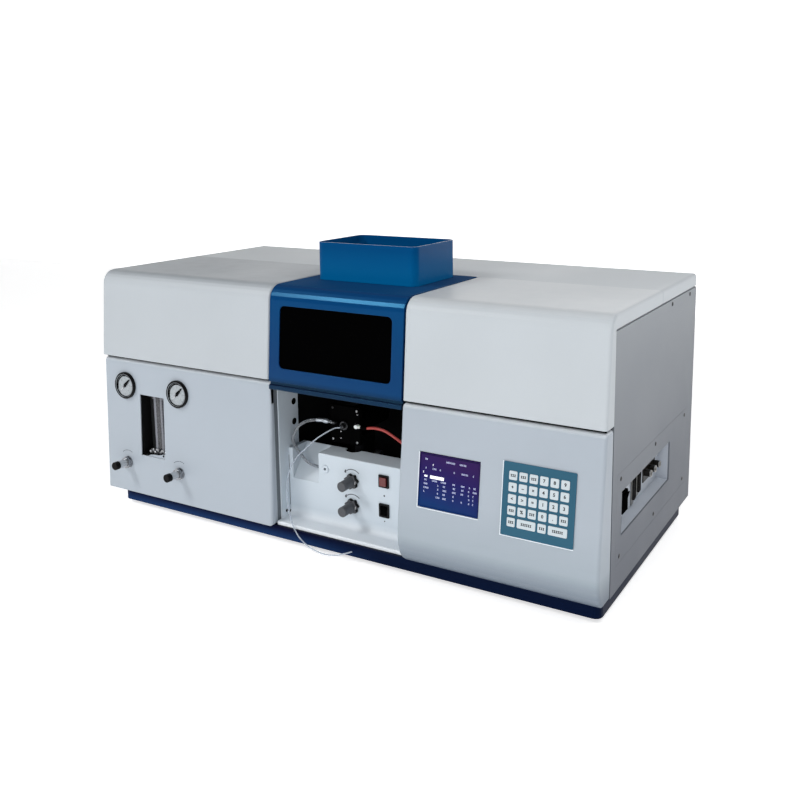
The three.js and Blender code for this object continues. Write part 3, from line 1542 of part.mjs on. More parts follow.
add('rear_panel', rearPanel(), white, 0.5, 0.1);

function fanFrame() {
  const wide = fanAcross / 2;
  const body = along('y', roundedFigure(-wide, -wide, wide, wide, 2 * sheet), 0, fanThick);
  const bore = rod(fanBore, 'rear', -overrun, fanThick + overrun);
  const spokes = [0, 1, 2].map((i) => block(
    0, fanBore / 2 + sheet, 0, sheet, -sheet, sheet,
  ).rotate([0, 60 + 120 * i, 0]));
  const motor = rod(fanHub, 'rear', 0, fanThick / 3);
  const axle = rod(fanAxle, 'rear', 0, fanThick - sheet, 12);
  return join(cut(body, bore), ...spokes, motor, axle);
}
const fanAt = [fanLeft, rearFace - sheet - seatGap - fanThick, fanHeight];
add('fan_frame', fanFrame(), black, 0.5, 0, { at: fanAt });

function fanRotor() {
  const start = fanThick / 3 + seatGap;
  const end = fanThick - sheet;
  const reach = fanBore / 2 - fanTipGap;
  const blades = Array.from({ length: fanBlades }, (unused, i) => block(
    fanHub / 2 - sheet, reach, -fanBladeThick / 2, fanBladeThick / 2, -(end - start) / 2, (end - start) / 2,
  ).rotate([90 + fanBladeAngle, 0, 0])
    .rotate([0, (360 * i) / fanBlades, 0])
    .translate([0, (start + end) / 2, 0]));
  const hub = rod(fanHub, 'rear', start, end, 24);
  const bore = rod(fanAxle + 2 * seatGap, 'rear', 0, fanThick, 12);
  return cut(join(hub, ...blades), bore);
}
add('fan_rotor', fanRotor(), 0x17181a, 0.5, 0, { at: fanAt });

function gasPort() {
  const flange = gasPortFlange / 2;
  const nut = gasPortNut / 2;
  const barb = gasPortBarb / 2;
  const hexagon = along(
    'y', figure(ringPoints(6, () => nut)), gasPortFlangeThick / 2, gasPortFlangeThick + gasPortNutLong,
  );
  const body = turned([
    [0, -gasPortShank], [gasPortShank / 2, -gasPortShank], [gasPortShank / 2, 0], [flange, 0],
    [flange, gasPortFlangeThick], [barb, gasPortFlangeThick], [barb, gasPortLong - sheet],
    [barb - sheet / 2, gasPortLong], [barb / 2, gasPortLong], [barb / 2, 0], [0, 0],
  ], 'rear', 20);
  return cut(join(body, hexagon), rod(gasPortBarb / 2, 'rear', 0, gasPortLong + overrun, 12));
}
gaugeNames.forEach((gas, i) => {
  add(`${gas}_inlet`, gasPort(), 0xa9894e, 0.35, 0.9, {
    at: [gasPortLefts[i], rearFace + seatGap, gasPortHeight],
  });
});

function mainsInlet() {
  const flange = along('y', roundedFigure(
    -inletWide / 2, -inletTall / 2, inletWide / 2, inletTall / 2, 2 * sheet,
  ), 0, inletFlange);
  const wide = inletBodyWide / 2;
  const tall = inletBodyTall / 2;
  const body = block(-wide, wide, -inletBodyDeep, inletFlange / 2, -tall, tall);
  const well = block(
    -wide + inletWall, wide - inletWall, inletFlange - inletWellDeep, inletFlange + overrun,
    -tall + inletWall, tall - inletWall,
  );
  const pins = [[-1, -1], [1, -1], [0, 1]].map(([x, z]) => block(
    (x * wide) / 2 - inletPin / 2, (x * wide) / 2 + inletPin / 2, -inletBodyDeep, -inletWall / 2,
    (z * tall) / 4 - inletPin, (z * tall) / 4 + inletPin,
  ));
  return join(cut(join(flange, body), well), ...pins);
}
add('mains_inlet', mainsInlet(), black, 0.45, 0, { at: [inletLeft, rearFace + seatGap, inletHeight] });

// Lamp turret on its stand: a disc with six hollow-cathode lamps round it
const turretHeight = beamHeight - turretReach;

function lampStand() {
  const left = turretLeft - standWide - seatGap;
  const plate = along('x', figure([
    [beamDepth - standDeep / 2, seatGap], [beamDepth + standDeep / 2, seatGap],
    [beamDepth + standDeep / 4, turretHeight + turretShaft],
    [beamDepth - standDeep / 4, turretHeight + turretShaft],
  ]), left, left + standWide);
  const bore = rod(turretShaft + 2 * seatGap, 'right', left - overrun, left + standWide + overrun, 24)
    .translate([0, beamDepth, turretHeight]);
  return cut(plate, bore);
}
add('floor_pan', join(floorPan, lampStand()), steel, 0.5, 0.7);

function lampTurret() {
  const disc = rod(turretDisc, 'right', 0, turretDiscThick, 36);
  const shaft = rod(turretShaft, 'right', -standWide - 2 * seatGap, lampLong / 2, 24);
  const clip = lampBaseLong - turretDiscThick;
  const far = rod(turretDisc, 'right', clip, clip + turretDiscThick / 2, 36);
  const [base, stem, window] = [lampBaseAcross / 2, lampStemAcross / 2, lampWindowAcross / 2];
  const lamps = Array.from({ length: turretLamps }, (unused, i) => {
    const angle = (2 * Math.PI * i) / turretLamps;
    return turned([
      [0, turretDiscThick / 2], [base, turretDiscThick / 2], [base, lampBaseLong], [stem, lampBaseLong],
      [stem, lampStemLong], [window, lampShoulderLong], [window, lampLong], [0, lampLong],
    ], 'right', 14).translate([0, turretReach * Math.sin(angle), turretReach * Math.cos(angle)]);
  });
  return join(disc, shaft, far, ...lamps);
}
add('lamp_turret', lampTurret(), 0x8d9196, 0.4, 0.5, { at: [turretLeft, beamDepth, turretHeight] });

// Monochromator: a casting open underneath, on two cross legs, with its entrance snout on the beam
function monochromator() {
  const left = baySideRight + opticsRoom + slitSnout;
  const right = caseWide - panDeep - opticsRoom;
  const back = caseDeep - opticsRearRoom;
  const top = caseTall - bandTall - opticsTopRoom;
  const body = along('z', roundedFigure(left, opticsFront, right, back, opticsRound), opticsFoot, top);
  const flange = along('z', roundedFigure(
    left - opticsFlange, opticsFront - opticsFlange, right + opticsFlange, back + opticsFlange,
    opticsRound + opticsFlange / 2,
  ), top - 4 * opticsFlangeThick, top - 3 * opticsFlangeThick);
  const cavity = block(
    left + opticsWall, right - opticsWall, opticsFront + opticsWall, back - opticsWall,
    opticsFoot - overrun, top - opticsWall,
  );
  const legs = [opticsFront, back - opticsLegWide].map((y) => cut(
    block(left, right, y, y + opticsLegWide, floorTop + seatGap, opticsFoot + sheet),
    block(
      left + opticsLegWide, right - opticsLegWide, y - overrun, y + opticsLegWide + overrun,
      floorTop, opticsFoot - opticsLegWide / 2,
    ),
  ));
  const snoutFrom = left - slitSnout;
  const snout = rod(slitBore + 4 * sheet, 'right', snoutFrom, left + sheet, 24)
    .translate([0, beamDepth, beamHeight]);
  const slit = rod(slitBore, 'right', snoutFrom - overrun, left + opticsWall + overrun, 20)
    .translate([0, beamDepth, beamHeight]);
  return cut(join(cut(join(body, flange), cavity), ...legs, snout), slit);
}
add('monochromator', monochromator(), 0x4a4d52, 0.6, 0.4);

// Stand the instrument on the bench, its footprint centred on the origin
const box = new THREE.Box3();
instrument.children
  .filter((mesh) => mesh.name !== 'sample_capillary')
  .forEach((mesh) => box.expandByObject(mesh));
const middle = box.getCenter(new THREE.Vector3());
instrument.position.set(-middle.x, -middle.y, -box.min.z);

const model = new THREE.Group();
model.add(instrument);

export default model;
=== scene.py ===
import math

import bmesh
import bpy
from mathutils import Matrix, Vector


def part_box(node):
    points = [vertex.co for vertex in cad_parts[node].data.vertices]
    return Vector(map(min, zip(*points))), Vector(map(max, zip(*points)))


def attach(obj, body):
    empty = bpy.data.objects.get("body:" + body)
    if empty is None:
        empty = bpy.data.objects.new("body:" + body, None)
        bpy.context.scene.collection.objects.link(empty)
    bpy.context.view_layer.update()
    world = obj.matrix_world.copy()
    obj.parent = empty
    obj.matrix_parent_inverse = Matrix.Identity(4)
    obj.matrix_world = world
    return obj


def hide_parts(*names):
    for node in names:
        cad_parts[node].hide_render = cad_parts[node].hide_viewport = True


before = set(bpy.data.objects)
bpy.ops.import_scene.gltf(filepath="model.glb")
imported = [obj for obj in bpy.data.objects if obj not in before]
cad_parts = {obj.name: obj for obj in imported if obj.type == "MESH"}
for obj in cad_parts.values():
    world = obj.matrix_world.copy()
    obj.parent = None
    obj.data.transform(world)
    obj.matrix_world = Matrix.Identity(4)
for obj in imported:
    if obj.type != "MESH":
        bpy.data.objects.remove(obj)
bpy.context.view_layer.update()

# Places are millimetres from the casing's left side, its front edge and its underside.
MM = 0.001
CASE_DEEP = 490.0
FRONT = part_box("rear_panel")[1][1] - CASE_DEEP * MM
ORIGIN = Vector((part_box("left_side")[0][0], FRONT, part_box("plinth")[1][2]))


def place(x, y, z):
    """A point of the casing, in the frame's metres."""
    return ORIGIN + Vector((x, y, z)) * MM


def across(x):
    return place(x, 0.0, 0.0).x


def inward(y):
    return place(0.0, y, 0.0).y


def height(z):
    return place(0.0, 0.0, z).z


# Camera
CAMERA_AT = (1416.44, -1183.27, 667.82)
CAMERA_TURNS = (-29.2757, 9.2033, -0.3261)
LENS, SENSOR_WIDE = 40.945, 36.0
SHIFT_X, SHIFT_Y = -0.05, -0.1375


def make_camera():
    yaw, pitch, roll = (math.radians(turn) for turn in CAMERA_TURNS)
    forward = Vector((math.sin(yaw) * math.cos(pitch), math.cos(yaw) * math.cos(pitch), -math.sin(pitch)))
    level = Vector((math.cos(yaw), -math.sin(yaw), 0))
    up = level.cross(forward)
    right = level * math.cos(roll) + up * math.sin(roll)
    upward = up * math.cos(roll) - level * math.sin(roll)
    data = bpy.data.cameras.new("camera")
    data.lens = LENS
    data.sensor_width = SENSOR_WIDE
    data.shift_x = SHIFT_X
    data.shift_y = SHIFT_Y
    camera = bpy.data.objects.new("camera", data)
    bpy.context.scene.collection.objects.link(camera)
    stand = Matrix((right, upward, -forward)).transposed().to_4x4()
    stand.translation = place(*CAMERA_AT)
    camera.matrix_world = stand
    bpy.context.scene.camera = camera


make_camera()


# Materials
class Shader:
    """A material with a Principled shader and short calls for the nodes round it."""

    def __init__(self, name):
        self.mat = bpy.data.materials.new(name)
        self.mat.use_nodes = True
        self.tree = self.mat.node_tree
        self.main = self.tree.nodes["Principled BSDF"]
        self.coords = self.node("ShaderNodeTexCoord").outputs["Object"]

    def node(self, kind, **values):
        made = self.tree.nodes.new(kind)
        for key, value in values.items():
            setattr(made, key, value)
        return made

    def link(self, source, target):
        self.tree.links.new(source, target)

    def feed(self, socket, value):
        """Links an output to the socket, or sets a colour or a number on it."""
        if hasattr(value, "is_output"):
            self.link(value, socket)
        elif hasattr(value, "__len__"):
            socket.default_value = (*value, 1.0)
        else:
            socket.default_value = value

    def set(self, **values):
        for key, value in values.items():
            self.feed(self.main.inputs[key.replace("_", " ")], value)

    def noise(self, scale, detail=2.0, stretch=None, roughness=0.5):
        made = self.node("ShaderNodeTexNoise")
        made.inputs["Scale"].default_value = scale
        made.inputs["Detail"].default_value = detail
        made.inputs["Roughness"].default_value = roughness
        if stretch:
            mapping = self.node("ShaderNodeMapping")
            mapping.inputs["Scale"].default_value = stretch
            self.link(self.coords, mapping.inputs["Vector"])
            self.link(mapping.outputs["Vector"], made.inputs["Vector"])
        else:
            self.link(self.coords, made.inputs["Vector"])
        return made.outputs["Fac"]

    def waves(self, scale, direction):
        made = self.node("ShaderNodeTexWave", bands_direction=direction)
        made.inputs["Scale"].default_value = scale
        self.link(self.coords, made.inputs["Vector"])
        return made.outputs["Fac"]

    def ramp(self, source, low, high, start=0.3, end=0.7):
        made = self.node("ShaderNodeMapRange")
        made.inputs["From Min"].default_value = start
        made.inputs["From Max"].default_value = end
        made.inputs["To Min"].default_value = low
        made.inputs["To Max"].default_value = high
        self.link(source, made.inputs["Value"])
        return made.outputs["Result"]

    def mix(self, factor, first, second):
        made = self.node("ShaderNodeMix", data_type="RGBA")
        for socket, value in ((made.inputs[0], factor), (made.inputs[6], first), (made.inputs[7], second)):
            self.feed(socket, value)
        return made.outputs[2]

    def calc(self, operation, first, second=0.0):
        made = self.node("ShaderNodeMath", operation=operation)
        for socket, value in zip(made.inputs, (first, second)):
            self.feed(socket, value)
        return made.outputs[0]

    def split(self, vector, name):
        made = self.node("ShaderNodeSeparateXYZ")
        self.link(vector, made.inputs[0])
        return made.outputs[name]

    def axis(self, name):
        return self.split(self.coords, name)

    def facing_up(self):
        return self.split(self.node("ShaderNodeNewGeometry").outputs["Normal"], "Z")

    def share_along(self, name, low, high):
        """0 at low and 1 at high along an axis."""
        return self.ramp(self.axis(name), 0.0, 1.0, low, high)

    def relief(self, rise, strength, distance, soft=0.0):
        """Bump from rise. soft is the radius to which sharp edges look rounded."""
        made = self.node("ShaderNodeBump")
        made.inputs["Strength"].default_value = strength
        made.inputs["Distance"].default_value = distance
        self.link(rise, made.inputs["Height"])
        if soft:
            bevel = self.node("ShaderNodeBevel", samples=4)
            bevel.inputs["Radius"].default_value = soft
            self.link(bevel.outputs["Normal"], made.inputs["Normal"])
        self.link(made.outputs["Normal"], self.main.inputs["Normal"])


def tone(colour, by):
    return tuple(min(1.0, channel * by) for channel in colour)


PATCH_SCALE = 7.0
FINE_DEPTH = 0.0002


def finish(name, colour, rough, metal=0.0, vary=0.05, grain=0.1, fine=900.0, soft=0.0, shine=0.5, **more):
    """A surface with broad and fine colour changes, uneven gloss and a fine relief."""
    s = Shader(name)
    patches = s.noise(PATCH_SCALE, 4.0)
    specks = s.noise(fine)
    base = s.mix(s.ramp(patches, 0.0, 1.0), tone(colour, 1.0 - vary), tone(colour, 1.0 + vary))
    base = s.mix(s.ramp(specks, 0.0, 0.35, 0.35, 0.75), base, tone(colour, 1.0 - 2.0 * vary))
    s.set(Base_Color=base, Metallic=metal, Roughness=s.ramp(patches, rough * 0.88, min(1.0, rough * 1.14)))
    s.relief(specks, grain, FINE_DEPTH, soft)
    s.set(Specular_IOR_Level=shine, **more)
    return s.mat


CLOUD_SCALE, PEEL_SCALE, SPECK_SCALE, DUST_AND_SHADING_SCALE = 5.0, 620.0, 2600.0, 40.0
PEEL_DEPTH, COATED_EDGE = 0.00012, 0.0012
LEVEL_FROM, LEVEL_AT = 0.94, 0.99


def powder_coat(name, colour, rough, peel=0.25, dust_and_top_shading=0.04, shine=0.5, level=(0.62, 0.61, 0.58),
                level_from=0.6, lit_inside=None, painted_shading=(), tint=None, matt_top=0.0):
    """Sprayed enamel: a fine orange-peel relief, faint clouding, and another tone on level faces.

    lit_inside is an X and the lighter colour painted on its left, painted light. Each of the painted_shading
    ramps is two heights and the colour at the first of them, or with "X" at its end two places along X and
    that
    colour: painted shade and painted light. level is the tone of faces that look up, settled dust and painted
    top shading; dust_and_top_shading is how much of it they take, and level_from is the share of upward slope
    at which it starts. matt_top is the roughness of level faces, where it is more than that of the rest.
    """
    s = Shader(name)
    cloud = s.noise(CLOUD_SCALE, 5.0)
    peel_noise = s.noise(PEEL_SCALE)
    speck = s.noise(SPECK_SCALE, 1.0)
    base = s.mix(s.ramp(cloud, 0.0, 1.0), tone(colour, 0.975), tone(colour, 1.02))
    # Painted shade and painted light: ramps to another colour along Z or along X
    for first, last, painted_colour, *axis in painted_shading:
        base = s.mix(s.ramp(s.axis(*axis or "Z"), 1.0, 0.0, first, last), base, painted_colour)
    # A lighter colour left of an X: painted light
    if lit_inside:
        base = s.mix(s.calc("LESS_THAN", s.axis("X"), lit_inside[0]), base, lit_inside[1])
    base = s.mix(s.ramp(speck, 0.0, 0.5, 0.62, 0.74), base, tone(colour, 0.86))
    up = s.facing_up()
    # Level faces take the level tone: settled dust, and painted top shading where it is strong
    share = s.ramp(up, 0.0, dust_and_top_shading, level_from, 1.0)
    dust_and_shading_share = s.calc("MULTIPLY", share, s.ramp(s.noise(DUST_AND_SHADING_SCALE, 6.0), 0.7, 1.0))
    base = s.mix(dust_and_shading_share, base, level)
    gloss = s.ramp(cloud, rough * 0.9, rough * 1.15)
    if matt_top:
        gloss = s.calc("MAXIMUM", gloss, s.ramp(up, 0.0, matt_top, LEVEL_FROM, LEVEL_AT))
    s.set(Base_Color=base, Roughness=gloss, Specular_IOR_Level=shine)
    if tint:
        s.set(Specular_Tint=tint)
    s.relief(peel_noise, peel, PEEL_DEPTH, COATED_EDGE)
    return s.mat


def brushed_steel(name, colour, rough, stretch):
    s = Shader(name)
    lines = s.noise(220.0, 3.0, stretch)
    cloud = s.noise(18.0, 4.0)
    base = s.mix(s.ramp(lines, 0.0, 1.0), tone(colour, 0.86), tone(colour, 1.08))
    s.set(Base_Color=base, Metallic=1.0, Roughness=s.ramp(cloud, rough * 0.8, rough * 1.3))
    s.relief(lines, 0.25, 0.0001, 0.0004)
    return s.mat


COVER_COLOUR = (0.51, 0.551, 0.586)
WHITE = powder_coat("white_enamel_paint", COVER_COLOUR, 0.42, shine=0.3)
# Copies of the cover paint with painted top shading: the lamp cover's paint is a little darker and its level
# faces darker still, painted shade; the detector cover's level faces are lighter, painted light.
LAMP_WHITE = powder_coat("lamp_cover_shaded_paint", (0.475, 0.514, 0.55), 0.42, shine=0.3, dust_and_top_shading=0.9,
                         level=(0.36, 0.39, 0.42))
DETECTOR_WHITE = powder_coat("detector_cover_lit_paint", COVER_COLOUR, 0.42, shine=0.3, dust_and_top_shading=0.9,
                             level=(0.6, 0.63, 0.655))
# Lighter towards the foot of the bay: painted light.
BAY_WHITE = powder_coat("bay_enamel_paint", (0.57, 0.64, 0.705), 0.42, shine=0.3,
                        painted_shading=[(height(4), height(26), (0.82, 0.87, 0.92))])
# Faces that look up even a little are painted in a much lighter tone: painted light.
PANEL_COAT = {"colour": (0.4, 0.45, 0.508), "rough": 0.42, "shine": 0.3, "dust_and_top_shading": 0.9,
              "level": (0.8, 0.84, 0.88), "level_from": 0.2}
PANEL_WHITE = powder_coat("panel_enamel_paint", **PANEL_COAT)
# Darker towards the display panel's foot, where its belly turns under: painted shade.
BELLY_WHITE = powder_coat("belly_enamel_paint", **PANEL_COAT,
                          painted_shading=[(height(30), height(120), (0.33, 0.385, 0.433)),
                                 (height(0), height(50), (0.1, 0.13, 0.175))])
ACCESS_WALL_X = 1017.5
# A darker copy of the cover paint for the sides and the rear, darker still towards the foot: painted shade.
SIDE_COAT = {"colour": (0.27, 0.293, 0.322), "rough": 0.45, "shine": 0.2,
             "painted_shading": [(height(0), height(420), (0.105, 0.117, 0.145))]}
SIDE_WHITE = powder_coat("side_enamel_paint", **SIDE_COAT)
# Lighter inside the access pan, left of its wall: painted light.
PAN_WHITE = powder_coat("pan_enamel_paint", **SIDE_COAT, lit_inside=(across(ACCESS_WALL_X), (0.52, 0.56, 0.62)))
GLOSS_TINT = (0.1, 0.6, 1.0)
# Darker towards the hood's lower front and darkest at its lower lip: painted shade.
BLUE = powder_coat("blue_gloss_paint", (0.0012, 0.041, 0.147), 0.23, peel=0.12, dust_and_top_shading=0.0, shine=0.55,
                   tint=GLOSS_TINT, matt_top=1.0,
                   painted_shading=[(height(300), height(400), (0.002, 0.023, 0.112)),
                          (height(260), height(272), (0.003, 0.002, 0.023))])
# A lighter copy of the hood's blue, lighter still towards the chimney's foot: painted light.
CHIMNEY_BLUE = powder_coat("chimney_gloss_paint", (0.0004, 0.062, 0.2), 0.24, peel=0.12, dust_and_top_shading=0.0, shine=0.12,
                           tint=GLOSS_TINT, painted_shading=[(height(432), height(488), (0.0004, 0.13, 0.34))])
# Darker at the plinth's top, painted shadow under the panels, and darker towards its right, painted shade
# under the display panel.
NAVY = powder_coat("navy_satin_paint", (0.007, 0.0272, 0.095), 0.38, peel=0.2, dust_and_top_shading=0.01, shine=0.03,
                   painted_shading=[(height(-3), height(-17), (0.0001, 0.001, 0.018)),
                          (across(640), across(460), (0.0004, 0.0045, 0.0235), "X")])
LINER = powder_coat("black_bay_paint", (0.008, 0.008, 0.009), 0.55, peel=0.5, dust_and_top_shading=0.01, shine=0.1)
STEEL = brushed_steel("zinc_plated_steel", (0.62, 0.63, 0.65), 0.32, (1.0, 14.0, 14.0))
CHROME = finish("bright_steel", (0.78, 0.78, 0.8), 0.16, 1.0, grain=0.05, fine=500.0)
BLACK = finish("black_moulded_plastic", (0.006, 0.006, 0.007), 0.36, grain=0.25, fine=1500.0, soft=0.0004,
               shine=0.1)
DEEP_BLACK = finish("black_matt_plastic", (0.002, 0.002, 0.0022), 0.5, grain=0.2, fine=1300.0, soft=0.0004,
                    shine=0.0)
GLOSS_BLACK = finish("black_gloss_plastic", (0.003, 0.003, 0.0035), 0.14, grain=0.05, fine=800.0, soft=0.0004,
                     shine=0.12)
NUT_STEEL = finish("nut_steel", (0.3, 0.31, 0.33), 0.16, 1.0, fine=700.0, soft=0.0004)
DARK_STEEL = finish("blackened_steel", (0.05, 0.052, 0.056), 0.24, 0.9, fine=700.0, soft=0.0004)
SILVER = finish("silver_grip", (0.42, 0.46, 0.5), 0.3, 0.75, grain=0.15, soft=0.0003)
NYLON = finish("white_nylon", (0.86, 0.86, 0.83), 0.4, grain=0.15, soft=0.0003, Subsurface_Weight=0.1)
RUBBER = finish("black_rubber", (0.02, 0.02, 0.022), 0.75, grain=0.5, fine=1100.0)
BRASS = finish("brass", (0.66, 0.47, 0.2), 0.3, 1.0, vary=0.1, grain=0.12, fine=700.0, soft=0.0003)
IGNITER_RED = finish("igniter_red", (0.12, 0.007, 0.008), 0.25, soft=0.0004, Coat_Weight=0.4)
INK = finish("print_dark", (0.055, 0.065, 0.085), 0.6, fine=2000.0)
PALE_INK = finish("print_pale", (0.8, 0.82, 0.84), 0.5, fine=2000.0)
SCREW_STEEL = finish("screw_steel", (0.5, 0.5, 0.52), 0.3, 1.0)
SCREW_DARK = finish("screw_black", (0.03, 0.03, 0.032), 0.35, 0.6)
KEY_FILM = finish("teal_film", (0.027, 0.108, 0.172), 0.42, vary=0.06, grain=0.2, fine=1800.0, shine=0.15)
KEY_FACE = finish("pale_keys", (0.56, 0.63, 0.67), 0.45, vary=0.03, grain=0.25, fine=1800.0)
SCREEN_INK = finish("screen_marks", (0.55, 0.6, 0.8), 0.4, grain=0.0, Emission_Color=(0.45, 0.48, 0.75),
                    Emission_Strength=0.25)
SCREEN_BRIGHT = finish("screen_bar", (0.9, 0.92, 1.0), 0.4, grain=0.0, Emission_Color=(0.9, 0.92, 1.0),
                       Emission_Strength=0.5)
SCREEN_SHADE = finish("screen_shade", (0.002, 0.006, 0.035), 0.3, shine=0.05)
RIM_WHITE = finish("painted_edge_light", (0.86, 0.92, 0.98), 0.4, vary=0.03, fine=1500.0)
STRIP_GREY = finish("grey_strip", (0.15, 0.17, 0.19), 0.6, shine=0.05)
DIAL_WHITE = finish("dial_face", (0.52, 0.57, 0.61), 0.5, vary=0.03, fine=1500.0)
GAUGE_GLASS = finish("gauge_glass", (0.02, 0.022, 0.024), 0.05, fine=400.0, grain=0.02, Alpha=0.08)


def two_tone(name, axis, meet, below, above, shine=0.3):
    """Two finishes that meet at a plane. Each is a colour, a roughness and a share of metal."""
    s = Shader(name)
    grain = s.noise(1300.0)
    side = s.calc("GREATER_THAN", s.axis(axis), meet)
    base = s.mix(side, below[0], above[0])
    base = s.mix(s.ramp(grain, 0.0, 0.25, 0.35, 0.75), base, (0.0, 0.0, 0.0))
    s.set(Base_Color=base, Roughness=s.ramp(side, below[1], above[1], 0.0, 1.0), Specular_IOR_Level=shine,
          Metallic=s.ramp(side, below[2], above[2], 0.0, 1.0))
    s.relief(grain, 0.25, FINE_DEPTH, 0.0004)
    return s.mat


ADJUSTER_RIM_Y = 38.7
VALVE_CAP_Y = -27.4
PORT_SHELL_X, SOCKET_SHELL_X = 1000.6, 1009.6
ADJUSTER = two_tone("adjuster_moulding", "Y", inward(ADJUSTER_RIM_Y), ((0.1, 0.105, 0.115), 0.36, 0.0),
                    ((0.002, 0.002, 0.0025), 0.2, 0.0), shine=0.08)
VALVE_GRIP = two_tone("valve_grip", "Y", inward(VALVE_CAP_Y), ((0.003, 0.003, 0.0035), 0.3, 0.0),
                      ((0.55, 0.58, 0.61), 0.32, 0.5), shine=0.08)
PORT = two_tone("port_shell", "X", across(PORT_SHELL_X), ((0.3, 0.3, 0.29), 0.35, 0.7),
                ((0.01, 0.009, 0.008), 0.3, 0.2))
SOCKET = two_tone("socket_shell", "X", across(SOCKET_SHELL_X), ((0.02, 0.018, 0.015), 0.3, 0.5),
                  ((0.45, 0.44, 0.42), 0.3, 0.8))


def flow_block():
    """A clear block, etched all over but for the strip in front of its bore, with a fine scale beside it."""
    scale_middle, scale_half = 0.76, 0.08
    strip_middle, strip_half = 0.5, 0.12
    s = Shader("etched_block")
    low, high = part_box("flowmeter_tube")
    share = s.share_along("X", low[0], high[0])
    base = s.mix(s.ramp(share, 0.0, 1.0, 0.18, 0.26), (0.014, 0.015, 0.016), (0.24, 0.25, 0.29))
    base = s.mix(s.ramp(share, 0.0, 1.0, 0.86, 0.96), base, (0.12, 0.13, 0.15))
    lines = s.waves(80.0, "X")
    base = s.mix(s.ramp(lines, 0.0, 0.45, 0.7, 0.98), base, (0.02, 0.022, 0.024))
    steps = s.waves(105.0, "Z")

    def near(middle, half):
        return s.calc("LESS_THAN", s.calc("ABSOLUTE", s.calc("SUBTRACT", share, middle)), half)

    marks = s.calc("MULTIPLY", near(scale_middle, scale_half), s.ramp(steps, 0.0, 0.8, 0.7, 0.9))
    base = s.mix(marks, base, (0.06, 0.065, 0.07))
    clearness = s.ramp(near(strip_middle, strip_half), 0.1, 0.8, 0.0, 1.0)
    s.set(Base_Color=base, Roughness=0.1, IOR=1.49, Transmission_Weight=clearness, Specular_IOR_Level=0.25)
    s.relief(s.noise(60.0, 3.0), 0.03, FINE_DEPTH)
    return s.mat


def casting():
    s = Shader("grey_casting")
    lumps = s.noise(160.0, 6.0, roughness=0.65)
    base = s.mix(s.ramp(s.noise(9.0, 5.0), 0.0, 1.0), (0.07, 0.073, 0.078), (0.11, 0.113, 0.12))
    s.set(Base_Color=base, Metallic=0.35, Roughness=s.ramp(lumps, 0.5, 0.75))
    s.relief(lumps, 0.6, 0.0006, 0.002)
    return s.mat


def burner_metal():
    """Titanium that the flame has tinted, straw to blue towards the slot."""
    s = Shader("heated_titanium")
    low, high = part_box("burner_head")
    rise = s.share_along("Z", low[2], high[2])
    stain = s.calc("ADD", rise, s.ramp(s.noise(45.0, 4.0), -0.18, 0.18))
    base = s.mix(s.ramp(stain, 0.0, 1.0, 0.45, 0.8), (0.36, 0.36, 0.37), (0.32, 0.25, 0.16))
    base = s.mix(s.ramp(stain, 0.0, 1.0, 0.82, 1.05), base, (0.1, 0.12, 0.22))
    s.set(Base_Color=base, Metallic=0.95, Roughness=s.ramp(s.noise(300.0, 3.0), 0.28, 0.46))
    s.relief(s.noise(500.0), 0.15, FINE_DEPTH, 0.0004)
    return s.mat


def lamp_finish():
    """A plated disc, black lamp bases and glass envelopes with paler ends, told apart along the lamps."""
    disc_end, base_end, pale_end = 0.0205, 0.0585, 0.026
    s = Shader("lamp_set")
    low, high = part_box("lamp_turret")
    along = s.axis("X")
    base = s.mix(s.calc("GREATER_THAN", along, low[0] + disc_end), (0.55, 0.56, 0.58), (0.02, 0.02, 0.022))
    base = s.mix(s.calc("GREATER_THAN", along, low[0] + base_end), base, (0.42, 0.5, 0.52))
    base = s.mix(s.calc("GREATER_THAN", along, high[0] - pale_end), base, (0.7, 0.76, 0.78))
    s.set(Base_Color=base, Metallic=s.ramp(along, 0.9, 0.0, low[0] + 0.0202, low[0] + 0.0206),
          Roughness=s.ramp(along, 0.35, 0.06, low[0] + 0.058, low[0] + 0.059), Coat_Weight=0.5)
    s.relief(s.noise(300.0), 0.1, FINE_DEPTH, 0.0005)
    return s.mat


def clear(name, colour, rough, weight, ior):
    s = Shader(name)
    smear = s.noise(60.0, 4.0)
    base = s.mix(s.ramp(smear, 0.0, 1.0), tone(colour, 0.94), colour)
    s.set(Base_Color=base, Transmission_Weight=weight, IOR=ior, Roughness=s.ramp(smear, rough, rough * 2.2))
    s.relief(smear, 0.03, FINE_DEPTH)
    return s.mat


def pane_finish():
    s = Shader("dark_window")
    smear = s.noise(14.0, 5.0)
    s.set(Base_Color=(0.0008, 0.0008, 0.0009), Roughness=s.ramp(smear, 0.05, 0.1), Specular_IOR_Level=0.0)
    s.relief(smear, 0.02, 0.0004)
    return s.mat


def screen_finish():
    """A lit screen that runs from purple at the top to blue at the foot, under smooth glass."""
    s = Shader("lit_screen")
    low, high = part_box("display")
    rise = s.share_along("Z", low[2], high[2])
    lean = s.ramp(s.axis("X"), -0.12, 0.12, low[0], high[0])
    blend = s.calc("ADD", rise, s.calc("ADD", lean, s.ramp(s.noise(30.0, 3.0), -0.06, 0.06)))
    base = s.mix(s.ramp(blend, 0.0, 1.0, 0.05, 0.55), (0.005, 0.028, 0.12), (0.014, 0.01, 0.088))
    base = s.mix(s.ramp(blend, 0.0, 1.0, 0.5, 0.95), base, (0.026, 0.01, 0.072))
    base = s.mix(s.ramp(s.waves(420.0, "Z"), 0.0, 0.12, 0.0, 1.0), base, (0.0, 0.0, 0.01))
    s.set(Base_Color=base, Roughness=0.14, Specular_IOR_Level=0.06)
    s.set(Emission_Color=base, Emission_Strength=0.3)
    return s.mat


